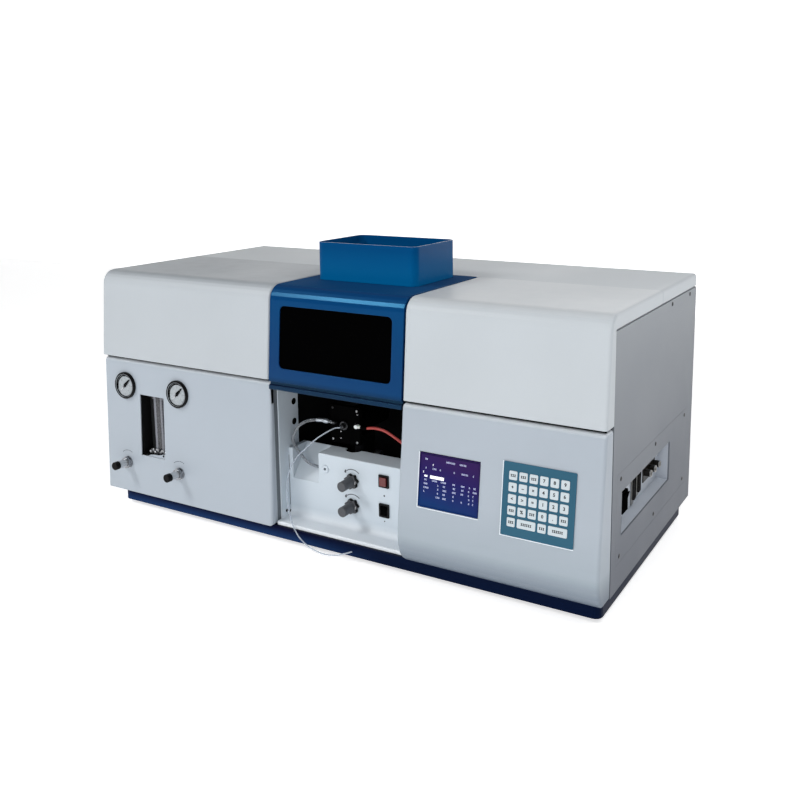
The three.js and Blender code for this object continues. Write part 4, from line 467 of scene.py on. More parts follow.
CASTING = casting()
BURNER = burner_metal()
LAMPS = lamp_finish()
ACRYLIC = flow_block()
PANE = pane_finish()
SCREEN = screen_finish()
RED_TUBE = clear("red_hose_wall", (0.62, 0.1, 0.09), 0.22, 0.2, 1.4)
DRAIN_TUBE = clear("drain_hose_wall", (0.5, 0.53, 0.57), 0.04, 0.75, 1.42)
CAPILLARY = clear("capillary_wall", (0.74, 0.81, 0.9), 0.08, 0.62, 1.4)


# Mesh tools
def piece(name, mesh, mat, body, smooth=False):
    made = bpy.data.objects.new(name, mesh)
    bpy.context.scene.collection.objects.link(made)
    mesh.materials.append(mat)
    for polygon in mesh.polygons:
        polygon.use_smooth = smooth
    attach(made, body)
    return made


def from_bmesh(bm, name):
    bmesh.ops.recalc_face_normals(bm, faces=bm.faces)
    mesh = bpy.data.meshes.new(name)
    bm.to_mesh(mesh)
    bm.free()
    return mesh


def new_items(grown, kind):
    return [item for item in grown["geom"] if isinstance(item, kind)]


class Face:
    """A flat working face: a point on it, and its right-hand, upward and outward directions."""

    def __init__(self, spot, right=(1, 0, 0), up=(0, 0, 1)):
        self.spot = spot
        self.right = Vector(right).normalized()
        self.up = Vector(up).normalized()
        self.out = self.right.cross(self.up)

    def point(self, u, v, n):
        return self.spot + (self.right * u + self.up * v + self.out * n) * MM

    def matrix(self, u, v, n):
        """Lays a flat shape on the face, with its middle at u, v and n in front."""
        laid = Matrix((self.right, self.up, self.out)).transposed().to_4x4()
        laid.translation = self.point(u, v, n)
        return laid


SEAT_GAP = 0.3
GAS_FOOT_Y, GAS_SLOPE = -4.0, 0.037
PANEL_TOP_Y, PANEL_TOP_Z, PANEL_SLOPE = -3.51, 204.9, 0.11503
RIGHT_SIDE_X = 1020.0
CHEEK_X = 415.3
COVER_FRONT_Y = 46.0
CAP_FRONT_Y = 78.0


def leaning_face(x, y, z, slope):
    tilt = math.atan(slope)
    return Face(place(x, y, z), (1, 0, 0), (0, math.sin(tilt), math.cos(tilt)))


def gas_face(x, z, lift=0.0):
    """A face on the gas panel, lift in front of it."""
    return leaning_face(x, GAS_FOOT_Y + GAS_SLOPE * z - lift, z, GAS_SLOPE)


def panel_face(x, z, lift):
    """A face on the display panel, lift in front of it."""
    return leaning_face(x, PANEL_TOP_Y - (PANEL_TOP_Z - z) * PANEL_SLOPE - lift, z, PANEL_SLOPE)


def side_face(y, z, x=RIGHT_SIDE_X):
    return Face(place(x, y, z), (0, 1, 0))


def rear_face(x, z):
    return Face(place(x, CASE_DEEP, z), (-1, 0, 0))


INK_LIFT = 0.05


class Print:
    """Flat printed marks, or thin raised ones, gathered into one piece."""

    def __init__(self, thick=0.12):
        self.bm = bmesh.new()
        self.thick = thick

    def raise_up(self, face, flats):
        """Gives flat faces the print's thickness."""
        grown = bmesh.ops.extrude_face_region(self.bm, geom=flats)
        top = new_items(grown, bmesh.types.BMVert)
        bmesh.ops.translate(self.bm, vec=face.out * self.thick * MM, verts=top)

    def shape(self, face, outline, lift=INK_LIFT):
        corners = [self.bm.verts.new(face.point(u, v, lift)) for u, v in outline]
        self.raise_up(face, [self.bm.faces.new(corners)])

    def box(self, face, u0, v0, u1, v1, lift=INK_LIFT):
        self.shape(face, [(u0, v0), (u1, v0), (u1, v1), (u0, v1)], lift)

    def blade(self, face, angle, outline, lift):
        """An outline that is drawn to the right and turned about the face's middle."""
        c, s = math.cos(angle), math.sin(angle)
        self.shape(face, [(u * c - v * s, u * s + v * c) for u, v in outline], lift)

    def disc(self, face, u, v, radius, sides=20, lift=INK_LIFT):
        rim = bmesh.ops.create_circle(self.bm, cap_ends=True, segments=sides, radius=radius * MM,
                                      matrix=face.matrix(u, v, lift))
        self.raise_up(face, [rim["verts"][0].link_faces[0]])

    def arc(self, face, u, v, radius, wide, start, end, steps, lift=INK_LIFT):
        """A curved band, from the angle start to the angle end."""
        known = set(self.bm.faces)
        a = math.radians(start)
        ends = [self.bm.verts.new(face.point(u + r * math.cos(a), v + r * math.sin(a), lift))
                for r in (radius, radius + wide)]
        bmesh.ops.spin(self.bm, geom=[*ends, self.bm.edges.new(ends)], cent=face.point(u, v, lift),
                       axis=face.out, angle=math.radians(end - start), steps=steps,
                       use_merge=end - start == 360)
        self.raise_up(face, [flat for flat in self.bm.faces if flat not in known])

    def glyphs(self, face, text, u, v, size, lift, bold=0.0):
        curve = bpy.data.curves.new("glyphs", "FONT")
        curve.body = text
        curve.size = size
        curve.align_x = "CENTER"
        curve.align_y = "CENTER"
        curve.resolution_u = 2
        curve.offset = bold
        holder = bpy.data.objects.new("glyphs", curve)
        flat = bpy.data.meshes.new_from_object(holder)
        flat.transform(face.matrix(u, v, lift) @ Matrix.Scale(MM, 4))
        self.bm.from_mesh(flat)
        bpy.data.objects.remove(holder)
        bpy.data.curves.remove(curve)
        bpy.data.meshes.remove(flat)

    def build(self, name, mat, body="case", slot=None):
        return piece(name, from_bmesh(self.bm, name), mat, body)


WELD = 0.000005
SHARP_FROM = 35.0


def turned(face, profile, sides):
    """A turned mesh about the face's outward line. The profile lists (radius, distance out)."""
    bm = bmesh.new()
    points = [bm.verts.new(face.point(radius, 0, out)) for radius, out in profile]
    edges = [bm.edges.new(pair) for pair in zip(points, points[1:])]
    bmesh.ops.spin(bm, geom=points + edges, cent=face.spot, axis=face.out, angle=2 * math.pi, steps=sides,
                   use_merge=True)
    bmesh.ops.remove_doubles(bm, verts=bm.verts, dist=WELD)
    return bm


def merge(target, source):
    mesh = bpy.data.meshes.new("part")
    source.to_mesh(mesh)
    source.free()
    target.from_mesh(mesh)
    bpy.data.meshes.remove(mesh)


def smooth_by_angle(made):
    """Smooth shading that keeps the edges sharper than SHARP_FROM degrees."""
    made.data.set_sharp_from_angle(angle=math.radians(SHARP_FROM))
    for polygon in made.data.polygons:
        polygon.use_smooth = True


def through(points, t):
    """A point of the smooth line through the points, t points along it."""
    last = len(points) - 1
    i = min(int(t), last - 1)
    f = t - i
    before, here, there, after = (Vector(points[max(0, min(last, k))]) for k in range(i - 1, i + 3))
    if i == 0:
        before = here * 2 - there
    if i == last - 1:
        after = there * 2 - here
    return 0.5 * (2 * here + (there - before) * f + (2 * before - 5 * here + 4 * there - after) * f * f
                  + (3 * here - before - 3 * there + after) * f * f * f)


def between(values, share):
    """The value at a share of a list's length."""
    along = share * (len(values) - 1)
    i = min(int(along), len(values) - 2)
    return values[i] + (values[i + 1] - values[i]) * (along - i)


def tube(name, points, wide, mat, body, sides=14, steps=110):
    """A round tube along a smooth line through the points, and that line.

    wide is a width in metres, or a list of widths that are spread over the length.
    """
    widths = wide if hasattr(wide, "__len__") else [wide, wide]
    line = [through(points, (len(points) - 1) * k / steps) for k in range(steps + 1)]
    bm = bmesh.new()
    loops = []
    normal = None
    for k, centre in enumerate(line):
        ahead = (line[min(k + 1, steps)] - line[max(k - 1, 0)]).normalized()
        if normal is None:
            normal = ahead.cross(Vector((0, 0, 1))).normalized()
        normal = (normal - ahead * normal.dot(ahead)).normalized()
        stand = Matrix((ahead.cross(normal), normal, -ahead)).transposed().to_4x4()
        stand.translation = centre
        ring = bmesh.ops.create_circle(bm, cap_ends=k in (0, steps), segments=sides, matrix=stand,
                                       radius=between(widths, k / steps) / 2)
        loops.append(list(dict.fromkeys(edge for vert in ring["verts"] for edge in vert.link_edges)))
    for first, second in zip(loops, loops[1:]):
        bmesh.ops.bridge_loops(bm, edges=first + second)
    return piece(name, from_bmesh(bm, name), mat, body, smooth=True), line


# The sample capillary and the hoses
CAPILLARY_ROUTE = [
    (516.5, 63.4, 179), (516.5, 60.4, 179), (507.5, 57.4, 177), (492.5, 51.4, 168), (475.5, 44.4, 155),
    (458.5, 39.4, 138), (444.5, 35.4, 124), (434.5, 32.4, 109), (428.5, 29.4, 94), (426.5, 25.4, 76),
    (429.5, 19.4, 53), (438.5, 12.4, 27), (449.5, 5.4, 13.5), (460.5, 0.4, 1.5), (473.5, -3.6, -8.5),
    (490.5, -6.6, -16.5), (511.5, -8.6, -21.5), (533.5, -9.6, -22.5), (554.5, -8.6, -19.5),
    (571.5, -6.6, -13.5), (583.5, -4.6, -8.5),
]
FUEL_ROUTE = [
    (552.8, 73.2, 181.5), (560.8, 73.2, 180.9), (581.9, 74.1, 184.1), (600.8, 76.9, 180.9),
    (619.7, 80.3, 170.5), (637.9, 90.4, 153.8), (653.2, 98.1, 139.6), (669.2, 100.9, 126.7),
    (685.2, 101.8, 118.9), (698.3, 101.8, 117),
]
DRAIN_ROUTE = [
    (500, 77.7, 183), (500, 72.7, 183), (496.1, 68.5, 183.4), (485.7, 67.1, 184.7), (468.8, 62.3, 185.6),
    (448, 57.3, 181.3), (432.4, 53.1, 170.4), (424.6, 51.2, 156), (422.6, 50.2, 143), (429.8, 52, 128.2),
    (440.2, 54.7, 114.3), (453.2, 57.5, 104), (468.8, 59.5, 100.3), (487, 59.7, 99),
]
CAPILLARY_WIDE, FUEL_HOSE_WIDE, DRAIN_HOSE_WIDE = 0.0024, 0.005, 0.0054


def hose(name, route, wide, mat, node, slot, **more):
    made, line = tube(name, [place(*point) for point in route], wide, mat, "lift_body", **more)
    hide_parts(node)
    return made, line


def make_capillary():
    cord, line = hose("capillary_tube", CAPILLARY_ROUTE, CAPILLARY_WIDE, CAPILLARY, "sample_capillary",
                      "clear_tube", sides=10, steps=150)


def hose_fitting(name, line, widths, mat, steps=20):
    """A turned fitting on a stretch of a hose's line."""
    made, _ = tube(name, line, widths, mat, "lift_body", steps=steps)


make_capillary()
_, fuel_line = hose("fuel_hose_tube", FUEL_ROUTE, FUEL_HOSE_WIDE, RED_TUBE, "fuel_hose", "red_tube")
_, drain_line = hose("drain_hose_tube", DRAIN_ROUTE, DRAIN_HOSE_WIDE, DRAIN_TUBE, "drain_tube", "dark_tube")
hose_fitting("fuel_hose_clamp", fuel_line[0:17:4], [0.0058, 0.0068, 0.0068, 0.006], DEEP_BLACK,
             12)
hose_fitting("drain_hose_plug", drain_line[23:37:3], [0.006, 0.0088, 0.0088, 0.0062, 0.0074, 0.006], SILVER)
hose_fitting("drain_hose_cuff", drain_line[1:18:4], [0.0075, 0.0078, 0.0066, 0.0072, 0.0058], DARK_STEEL)

# Finishes of the nodes that come with the frame
FINISHES = {
    WHITE: "rear_cover",
    LAMP_WHITE: "lamp_cover",
    DETECTOR_WHITE: "detector_cover",
    BAY_WHITE: "lift_cover left_cheek right_cheek",
    PANEL_WHITE: "gas_panel",
    BELLY_WHITE: "display_panel",
    SIDE_WHITE: "left_side right_side rear_panel",
    PAN_WHITE: "access_plate",
    BLUE: "hood",
    CHIMNEY_BLUE: "chimney",
    NAVY: "plinth",
    LINER: "bay_liner flowmeter_box",
    STEEL: "cross_slide floor_pan flowmeter_float",
    DARK_STEEL: "nebuliser",
    NUT_STEEL: "fuel_valve_nut air_valve_nut",
    BLACK: "igniter_frame pump_frame fan_frame fan_rotor mains_inlet burner_lift",
    DEEP_BLACK: "spray_chamber pump_rocker mains_frame mains_rocker fuel_needle air_needle",
    GLOSS_BLACK: "fuel_gauge air_gauge",
    ADJUSTER: "height_knob fore_aft_knob",
    VALVE_GRIP: "fuel_valve_knob air_valve_knob",
    PORT: "long_port short_port",
    SOCKET: "signal_sockets",
    NYLON: "fuel_elbow",
    RUBBER: "front_foot rear_foot",
    BRASS: "fuel_inlet air_inlet",
    CASTING: "monochromator",
    BURNER: "burner_head",
    LAMPS: "lamp_turret",
    ACRYLIC: "flowmeter_tube",
    PANE: "hood_window",
    IGNITER_RED: "igniter_button",
    KEY_FILM: "keypad",
    SCREEN: "display",
}


def dress_nodes():
    for mat, names in FINISHES.items():
        for name in names.split():
            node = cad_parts[name]
            node.data.materials.clear()
            node.data.materials.append(mat)


dress_nodes()

# Keypad
KEYPAD_LEFT, KEYPAD_FOOT, KEYPAD_WIDE, KEYPAD_TALL = 864.0, 88.5, 115.5, 111.5
KEYPAD_FACE = panel_face(KEYPAD_LEFT + KEYPAD_WIDE / 2, KEYPAD_FOOT + KEYPAD_TALL / 2, SEAT_GAP)
KEY_STEP_WIDE, KEY_STEP_TALL = 16.5, 17.6
KEY_WIDE, KEY_TALL, KEY_CORNER, KEY_THICK, KEY_LIFT = 13.0, 13.4, 1.2, 0.75, 1.25
KEYS_IN_FROM_LEFT, KEYS_IN_FROM_TOP = 10.0, 13.0
LEGEND_LIFT, SIGN_LIFT, SIGN_SIZE, SIGN_BOLD = 2.05, 2.06, 7.2, 0.22
# A legend is a sign, or a word shown as so many blocks. The long word's key is two keys wide.
SHORT, LONG = 3, 6
LEGENDS = [
    [SHORT, SHORT, SHORT, "7", "8", "9"],
    ["+", "–", "×", "4", "5", "6"],
    ["<", ">", "=", "1", "2", "3"],
    [SHORT, "%", SHORT, "0", ".", SHORT],
    [SHORT, LONG, None, SHORT, LONG, None],
]
BLOCK_STEP = 2.9
# The two bars of a block and the stroke that joins them: left, foot, right and top, from the block's middle
BLOCK_STROKES = [(-1.1, -1.9, 1.1, -0.9), (-1.1, 0.8, 1.1, 1.8), (-0.45, -1.9, 0.55, 1.8)]


def key_outline(left, foot, right, top):
    """A key with its corners cut off."""
    c = KEY_CORNER
    return [(left + c, foot), (right - c, foot), (right, foot + c), (right, top - c), (right - c, top),
            (left + c, top), (left, top - c), (left, foot + c)]


def print_legend(legends, legend, u, v):
    if isinstance(legend, str):
        legends.glyphs(KEYPAD_FACE, legend, u, v, SIGN_SIZE, SIGN_LIFT, SIGN_BOLD)
        return
    for k in range(legend):
        middle = u + (k - (legend - 1) / 2) * BLOCK_STEP
        for left, foot, right, top in BLOCK_STROKES:
            legends.box(KEYPAD_FACE, middle + left, v + foot, middle + right, v + top, LEGEND_LIFT)


def make_keys():
    caps, legends = Print(KEY_THICK), Print()
    for row, row_legends in enumerate(LEGENDS):
        for column, legend in enumerate(row_legends):
            if legend is None:
                continue
            wide = KEY_WIDE + (KEY_STEP_WIDE if legend == LONG else 0.0)
            left = -KEYPAD_WIDE / 2 + KEYS_IN_FROM_LEFT + KEY_STEP_WIDE * column
            top = KEYPAD_TALL / 2 - KEYS_IN_FROM_TOP - KEY_STEP_TALL * row
            caps.shape(KEYPAD_FACE, key_outline(left, top - KEY_TALL, left + wide, top), KEY_LIFT)
            print_legend(legends, legend, left + wide / 2, top - KEY_TALL / 2)
    caps.build("key_caps", KEY_FACE, slot="keypad_film")
    legends.build("key_legends", DEEP_BLACK)


make_keys()

# Display
SCREEN_LEFT, SCREEN_FOOT, SCREEN_WIDE, SCREEN_TALL = 719.0, 103.0, 106.0, 87.5
SCREEN_FACE = panel_face(SCREEN_LEFT + SCREEN_WIDE / 2, SCREEN_FOOT + SCREEN_TALL / 2, SEAT_GAP)
SCREEN_HALF_WIDE, SCREEN_HALF_TALL = 49.0, 39.0
# Each row is its share of the screen's height from the top, its groups of figures and whether it is bright.
# A group is its share of the width from the left and how many figures it has.
SCREEN_ROWS = [
    (0.07, [(0.06, 2), (0.44, 7), (0.68, 5)], False),
    (0.17, [(0.2, 1)], True),
    (0.25, [(0.07, 1), (0.2, 3), (0.33, 1), (0.58, 1), (0.72, 5), (0.92, 1)], False),
    (0.34, [(0.03, 1)], True),
    (0.49, [(0.06, 2), (0.2, 4), (0.36, 4), (0.57, 2), (0.72, 3), (0.86, 1), (0.94, 2)], False),
    (0.57, [(0.05, 3), (0.3, 1), (0.4, 2), (0.58, 2), (0.73, 2), (0.85, 1), (0.93, 3)], False),
    (0.65, [(0.05, 4), (0.3, 1), (0.4, 3), (0.57, 3), (0.72, 2), (0.85, 1), (0.93, 1)], False),
    (0.73, [(0.05, 1), (0.3, 1), (0.4, 2), (0.58, 1), (0.86, 1), (0.93, 1)], False),
    (0.81, [(0.28, 3), (0.4, 3), (0.58, 1), (0.73, 1), (0.86, 1), (0.93, 1)], False),
]
FIGURE_STEP, FIGURE_WIDE, FIGURE_HALF, FIGURE_STROKE = 2.3, 1.6, 1.3, 0.5
SCREEN_LIFT = -0.55
BAR_SHARE = 0.42


def print_figure(ink, left, v, kind):
    """A plain figure of four strokes, or of three of them for kinds 1 to 3."""
    right, foot, top = left + FIGURE_WIDE, v - FIGURE_HALF, v + FIGURE_HALF
    strokes = [(left, foot, left + FIGURE_STROKE, top), (left, top - FIGURE_STROKE, right, top),
               (left, foot, right, foot + FIGURE_STROKE), (right - FIGURE_STROKE, foot, right, top)]
    for number, stroke in enumerate(strokes):
        if number == 0 or number != kind:
            ink.box(SCREEN_FACE, *stroke, SCREEN_LIFT)


def screen_u(share):
    return -SCREEN_HALF_WIDE + 2 * SCREEN_HALF_WIDE * share


def screen_v(share):
    return SCREEN_HALF_TALL - 2 * SCREEN_HALF_TALL * share


def print_screen():
    small, bright = Print(0.05), Print(0.05)
    for down, groups, lit in SCREEN_ROWS:
        ink = bright if lit else small
        for start, count in groups:
            for k in range(count):
                kind = (k * 7 + int(down * 100) + int(start * 50)) % 4
                print_figure(ink, screen_u(start) + k * FIGURE_STEP, screen_v(down), kind)
    bar = screen_v(BAR_SHARE)
    bright.box(SCREEN_FACE, screen_u(0.16), bar - 2.4, screen_u(0.41), bar + 2.4, SCREEN_LIFT)
    bright.box(SCREEN_FACE, screen_u(0.055), bar - 1.0, screen_u(0.11), bar + 1.8, SCREEN_LIFT)
    small.build("screen_figures", SCREEN_INK, slot="display_face")
    bright.build("screen_bars", SCREEN_BRIGHT, slot="display_face")


def shade_screen():
    """The shadow that the recess casts along the screen's top and right."""
    wide, tall, top_deep, right_deep, lift = 52.2, 43.5, 3.2, 1.8, -0.6
    shade = Print(0.04)
    shade.box(SCREEN_FACE, -wide, tall - top_deep, wide, tall, lift)
    shade.box(SCREEN_FACE, wide - right_deep, -tall, wide, tall - top_deep, lift)
    shade.build("screen_edge_shade", SCREEN_SHADE, slot="display_face")


def light_edges():
    """Painted light on the left and lower edges of the display's and the keypad's recess."""
    near, far = 0.2, 1.5
    rim = Print(0.1)
    for face, wide, tall in ((SCREEN_FACE, 53.2, 44.0), (KEYPAD_FACE, 57.95, 55.95)):
        rim.box(face, -wide - far, -tall - far, -wide - near, tall)
        rim.box(face, -wide - near, -tall - far, wide, -tall - near)
    rim.build("edge_light", RIM_WHITE, slot="white_enamel")


def shade_seams():
    """A black strip in each seam under the front covers: painted shade in the groove."""
    foot, top, thick = 261.3, 265.5, 3.0
    for side, lip_y, left, right in (("gas", 13.7, 3.0, 408.0), ("display", 11.5, 686.0, 1016.0)):
        seal = Print(thick)
        seal.box(Face(place(0, lip_y, 0)), left, foot, right, top, 0.1)
        seal.build(side + "_seam_shade", DEEP_BLACK, slot="black_rubber")


def close_panel_gap():
    """A grey strip that closes the gap between the gas panel's right side and the cheek: painted shade for
    the dark gap there.
    """
    left, right, foot, top, front_y, deep = 413.02, 413.26, 3.0, 246.0, 20.5, 8.5
    strip = Print(deep)
    strip.box(Face(place(0, front_y, 0)), left, foot, right, top, 0.0)
    strip.build("gas_edge_shade", STRIP_GREY, slot="black_rubber")


print_screen()
shade_screen()
shade_seams()
light_edges()
close_panel_gap()

# Gauges
GAUGE_X = {"fuel": 57.5, "air": 193.3}
GAUGE_Z = 210.5
DIAL_HOLE, DIAL_RADIUS, DIAL_BACK, DIAL_FRONT = 1.6, 22.2, 2.32, 2.42
DIAL = [(DIAL_HOLE, DIAL_BACK), (DIAL_RADIUS, DIAL_BACK), (DIAL_RADIUS, DIAL_FRONT), (DIAL_HOLE, DIAL_FRONT),
        (DIAL_HOLE, DIAL_BACK)]
GLASS_RADIUS, GLASS_BACK, GLASS_FRONT = 21.8, 4.25, 4.5
GLASS = [(0.0, GLASS_BACK), (GLASS_RADIUS, GLASS_BACK), (GLASS_RADIUS, GLASS_FRONT), (0.0, GLASS_FRONT)]
RIM_SEAL = [(21.9, 4.2), (22.35, 4.2), (22.35, 5.2), (21.9, 5.0), (21.9, 4.2)]
ROUND = 48
SCALE_END, FIRST_MARK, MARKS, MARK_STEP, MARKS_TO_NUMBER = -45, 225, 31, 9, 5
SCALE_RADIUS, SCALE_WIDE, MARK_LIFT, MARK_END = 19.6, 0.4, 2.44, 19.8
LONG_MARK, SHORT_MARK = (16.4, 0.35), (18.0, 0.2)
NUMBER_RADIUS, NUMBER_SIZE, NUMBER_LIFT = 13.0, 3.6, 2.5
# The shadow of the rim on the dial, deeper at its upper left: middle, radius, width, angles, steps and lift
RIM_SHADOWS = [(0, 0, 20.6, 1.55, 0, 360, ROUND, 2.55), (1.7, -1.5, 19.6, 2.6, 62, 196, 24, 2.62)]
POINTER_BLADE = [(-2.2, 2.6), (2.6, -2.2), (12.6, 10.5), (10.5, 12.6)]
POINTER_TAIL = [(-2.6, -3.4), (-3.4, -2.6), (-11.2, -9.9), (-9.9, -11.2)]
POINTER_LIFT = 3.65


def make_scale(gas, face):
    scale = Print(0.05)
    scale.arc(face, 0, 0, SCALE_RADIUS, SCALE_WIDE, SCALE_END, FIRST_MARK, 40, MARK_LIFT)
    for k in range(MARKS):
        angle = math.radians(FIRST_MARK - MARK_STEP * k)
        numbered = k % MARKS_TO_NUMBER == 0
        start, half = LONG_MARK if numbered else SHORT_MARK
        outline = [(start, -half), (MARK_END, -half), (MARK_END, half), (start, half)]
        scale.blade(face, angle, outline, MARK_LIFT)
        if numbered:
            scale.glyphs(face, str(k // MARKS_TO_NUMBER), NUMBER_RADIUS * math.cos(angle),
                         NUMBER_RADIUS * math.sin(angle), NUMBER_SIZE, NUMBER_LIFT)
    scale.build(gas + "_scale", INK)


def turned_piece(name, face, profile, sides, mat, smooth=False):
    return piece(name, from_bmesh(turned(face, profile, sides), name), mat, "case", smooth)


def make_gauge(gas):
    face = gas_face(GAUGE_X[gas], GAUGE_Z, SEAT_GAP)
    turned_piece(gas + "_dial", face, DIAL, ROUND, DIAL_WHITE)
    make_scale(gas, face)
    ring = Print(0.05)
    for shadow in RIM_SHADOWS:
        ring.arc(face, *shadow)
    ring.build(gas + "_dial_ring", DEEP_BLACK)
    turned_piece(gas + "_rim_seal", face, RIM_SEAL, ROUND, SILVER)
    for part, outline, ink in (("_blade", POINTER_BLADE, DEEP_BLACK), ("_tail", POINTER_TAIL, PALE_INK)):
        paint = Print(0.1)
        paint.shape(face, outline, POINTER_LIFT)
        paint.build(gas + part, ink, gas + "_pointer")
    turned_piece(gas + "_glass", face, GLASS, ROUND, GAUGE_GLASS, smooth=True)


for gas_name in GAUGE_X:
    make_gauge(gas_name)

# Marks at the valves, adjusters and switches
VALVE_Z = 58.5
VALVE_MARKS, VALVE_MARK_STEP, VALVE_MARK_LONG = 7, 10, 7
VALVE_MARK_RADIUS, VALVE_MARK_WIDE, VALVE_MARK_START = 22.5, 1.2, 62
ADJUSTER_X = 552.5
ADJUSTERS = {"height_control": 93.5, "fore_aft_control": 48.5}
# The shaft and the head of a curved arrow: radius, width, angles and steps
ADJUSTER_ARCS = [(19.6, 1.5, 48, 126, 16), (20.6, 2.2, 126, 136, 3)]
ADJUSTER_DOT = (-14.6, 14.2, 2.1)
ADJUSTER_STREAK = [(8.9, -2.2), (9.9, -2.8), (10.5, 2.4), (9.6, 2.6)]
SWITCH_DOT_X = 617.0
SWITCH_DOTS = [(78.5, 1.7), (33.0, 1.3)]


def print_marks():
    marks = Print(0.06)
    for x in GAUGE_X.values():
        face = gas_face(x, VALVE_Z)
        for k in range(VALVE_MARKS):
            start = VALVE_MARK_START + VALVE_MARK_STEP * k
            marks.arc(face, 0, 0, VALVE_MARK_RADIUS, VALVE_MARK_WIDE, start, start + VALVE_MARK_LONG, 2)
    for z in ADJUSTERS.values():
        face = Face(place(ADJUSTER_X, COVER_FRONT_Y, z))
        for arc in ADJUSTER_ARCS:
            marks.arc(face, 0, 0, *arc)
        marks.disc(face, *ADJUSTER_DOT)
    for z, radius in SWITCH_DOTS:
        marks.disc(Face(place(SWITCH_DOT_X, COVER_FRONT_Y, z)), 0, 0, radius)
    marks.build("printed_marks", INK)


def mark_adjusters():
    """A pale streak on each adjuster's rim: a painted glint."""
    for body, z in ADJUSTERS.items():
        painted_glint = Print(0.1)
        painted_glint.shape(Face(place(ADJUSTER_X, ADJUSTER_RIM_Y, z)), ADJUSTER_STREAK)
        painted_glint.build(body + "_tick", PALE_INK, body)


def dress_flowmeter():
    """Fittings and a pale plate at the foot of the flow meter's block."""
    fitting_y, fitting_z, plate_x, plate_z = 17.4, 84.5, 125.0, 78.2
    hole_x, hole_z, hole_radius = 150.0, 83.6, 2.2
    profile = [(0.0, 0.0), (4.4, 0.0), (4.4, 3.0), (2.6, 3.4), (2.6, 8.0), (0.0, 8.0)]
    fittings = bmesh.new()
    for x in (107.0, 119.0, 133.0, 144.0):
        merge(fittings, turned(Face(place(x, fitting_y, fitting_z)), profile, 12))
    mesh = from_bmesh(fittings, "flowmeter_fittings")
    smooth_by_angle(piece("flowmeter_fittings", mesh, STEEL, "case"))
    plate = Print(0.5)
    outline = [(-16, 0.0), (30.4, 0.0), (30.4, 9.2), (24, 8.6), (15, 5.6), (1, 4.8), (-9, 3.4)]
    plate.shape(gas_face(plate_x, plate_z), outline, -2.4)
    plate.build("flowmeter_plate", PANEL_WHITE, slot="white_enamel")
    hole = Print(0.1)
    hole.disc(gas_face(hole_x, hole_z), 0, 0, hole_radius, lift=-1.7)
    hole.build("flowmeter_plate_hole", DEEP_BLACK)


print_marks()
mark_adjusters()
dress_flowmeter()


# Screws
def screws(name, faces, mat, head, tall, body="case"):
    """Pan-head screws with a cross recess. head is the head's radius."""
    seat, recess_deep = 0.02, 0.04
    long, narrow = head * 0.5, head * 0.1
    dome = [(0.0, seat), (head, seat), (head, tall * 0.35), (head * 0.86, tall * 0.75), (head * 0.5, tall),
            (0.0, tall)]
    heads = bmesh.new()
    cross = Print(0.05)
    for face in faces:
        merge(heads, turned(face, dome, 20))
        cross.box(face, -long, -narrow, long, narrow, tall - recess_deep)
        cross.box(face, -narrow, -long, narrow, long, tall - recess_deep)
    smooth_by_angle(piece(name, from_bmesh(heads, name), mat, body))
    cross.build(name + "_slots", BLACK, body)


# Places on the side and the cheek are Y and Z, those on the rear and on the spray chamber's cap X and Z.
ACCESS_SCREWS = [(y, z) for y in (70, 250, 434) for z in (174, 52)]
SIDE_SCREWS = [(325, 397), (442, 397)]
REAR_SCREWS = [(x, z) for x in (30, 340, 680, 990) for z in (14, 390)]
CHEEK_SCREWS = [(52, 48), (51, 20), (34.6, 16.5), (45.8, 12.4)]
CAP_PINS = [(509, 167), (508.5, 154.5), (544.5, 202)]
CAP_X, CAP_Z, CAP_SCREW_ASIDE, CAP_SCREW_ABOVE = 516.5, 179.0, 25.6, 28.6
FAN_X, FAN_Z, FAN_SCREW_ASIDE = 800.0, 300.0, 38.0


def cap_face(x, z):
    return Face(place(x, CAP_FRONT_Y, z))


def cap_corner(side, end):
    return cap_face(CAP_X + side * CAP_SCREW_ASIDE, CAP_Z + end * CAP_SCREW_ABOVE)


def make_panel_screws():
    screws("access_screws", [side_face(y, z) for y, z in ACCESS_SCREWS], SCREW_DARK, 3.6, 1.0)
    screws("side_screws", [side_face(y, z) for y, z in SIDE_SCREWS], SCREW_DARK, 3.8, 1.2)
    screws("rear_screws", [rear_face(x, z) for x, z in REAR_SCREWS], SCREW_STEEL, 3.4, 1.4)
    cheek = [side_face(y, z, CHEEK_X) for y, z in CHEEK_SCREWS]
    screws("cheek_screws", cheek, SCREW_DARK, 2.8, 1.2)


def make_cheek_holes():
    """Two dark holes and a dark slot in the left cheek."""
    hole_y, slot_y, slot_half, slot_foot, slot_top = 64.0, 46.0, 0.7, 24.0, 118.0
    holes = Print(0.08)
    for z in (212.0, 175.0):
        holes.disc(side_face(hole_y, z, CHEEK_X), 0, 0, 6.0, 24)
    holes.box(side_face(slot_y, 0, CHEEK_X), -slot_half, slot_foot, slot_half, slot_top)
    holes.build("cheek_holes", DEEP_BLACK)


def make_cap_screws():
    cap = [cap_corner(-1, -1), cap_corner(1, -1), cap_corner(1, 1)]
    screws("cap_screws", cap, SCREW_STEEL, 2.2, 2.0, "lift_body")
    # The upper-left screw is dark: painted shade where its glint is faint.
    screws("cap_screw_shaded", [cap_corner(-1, 1)], SCREW_DARK, 2.2, 2.0, "lift_body")
    screws("cap_pins", [cap_face(x, z) for x, z in CAP_PINS], CHROME, 1.7, 2.4, "lift_body")


def make_fan_screws():
    aside = (-FAN_SCREW_ASIDE, FAN_SCREW_ASIDE)
    fan = [rear_face(FAN_X + u, FAN_Z + v) for u in aside for v in aside]
    screws("fan_screws", fan, SCREW_STEEL, 3.0, 1.2)


make_panel_screws()
make_cheek_holes()
make_cap_screws()
make_fan_screws()


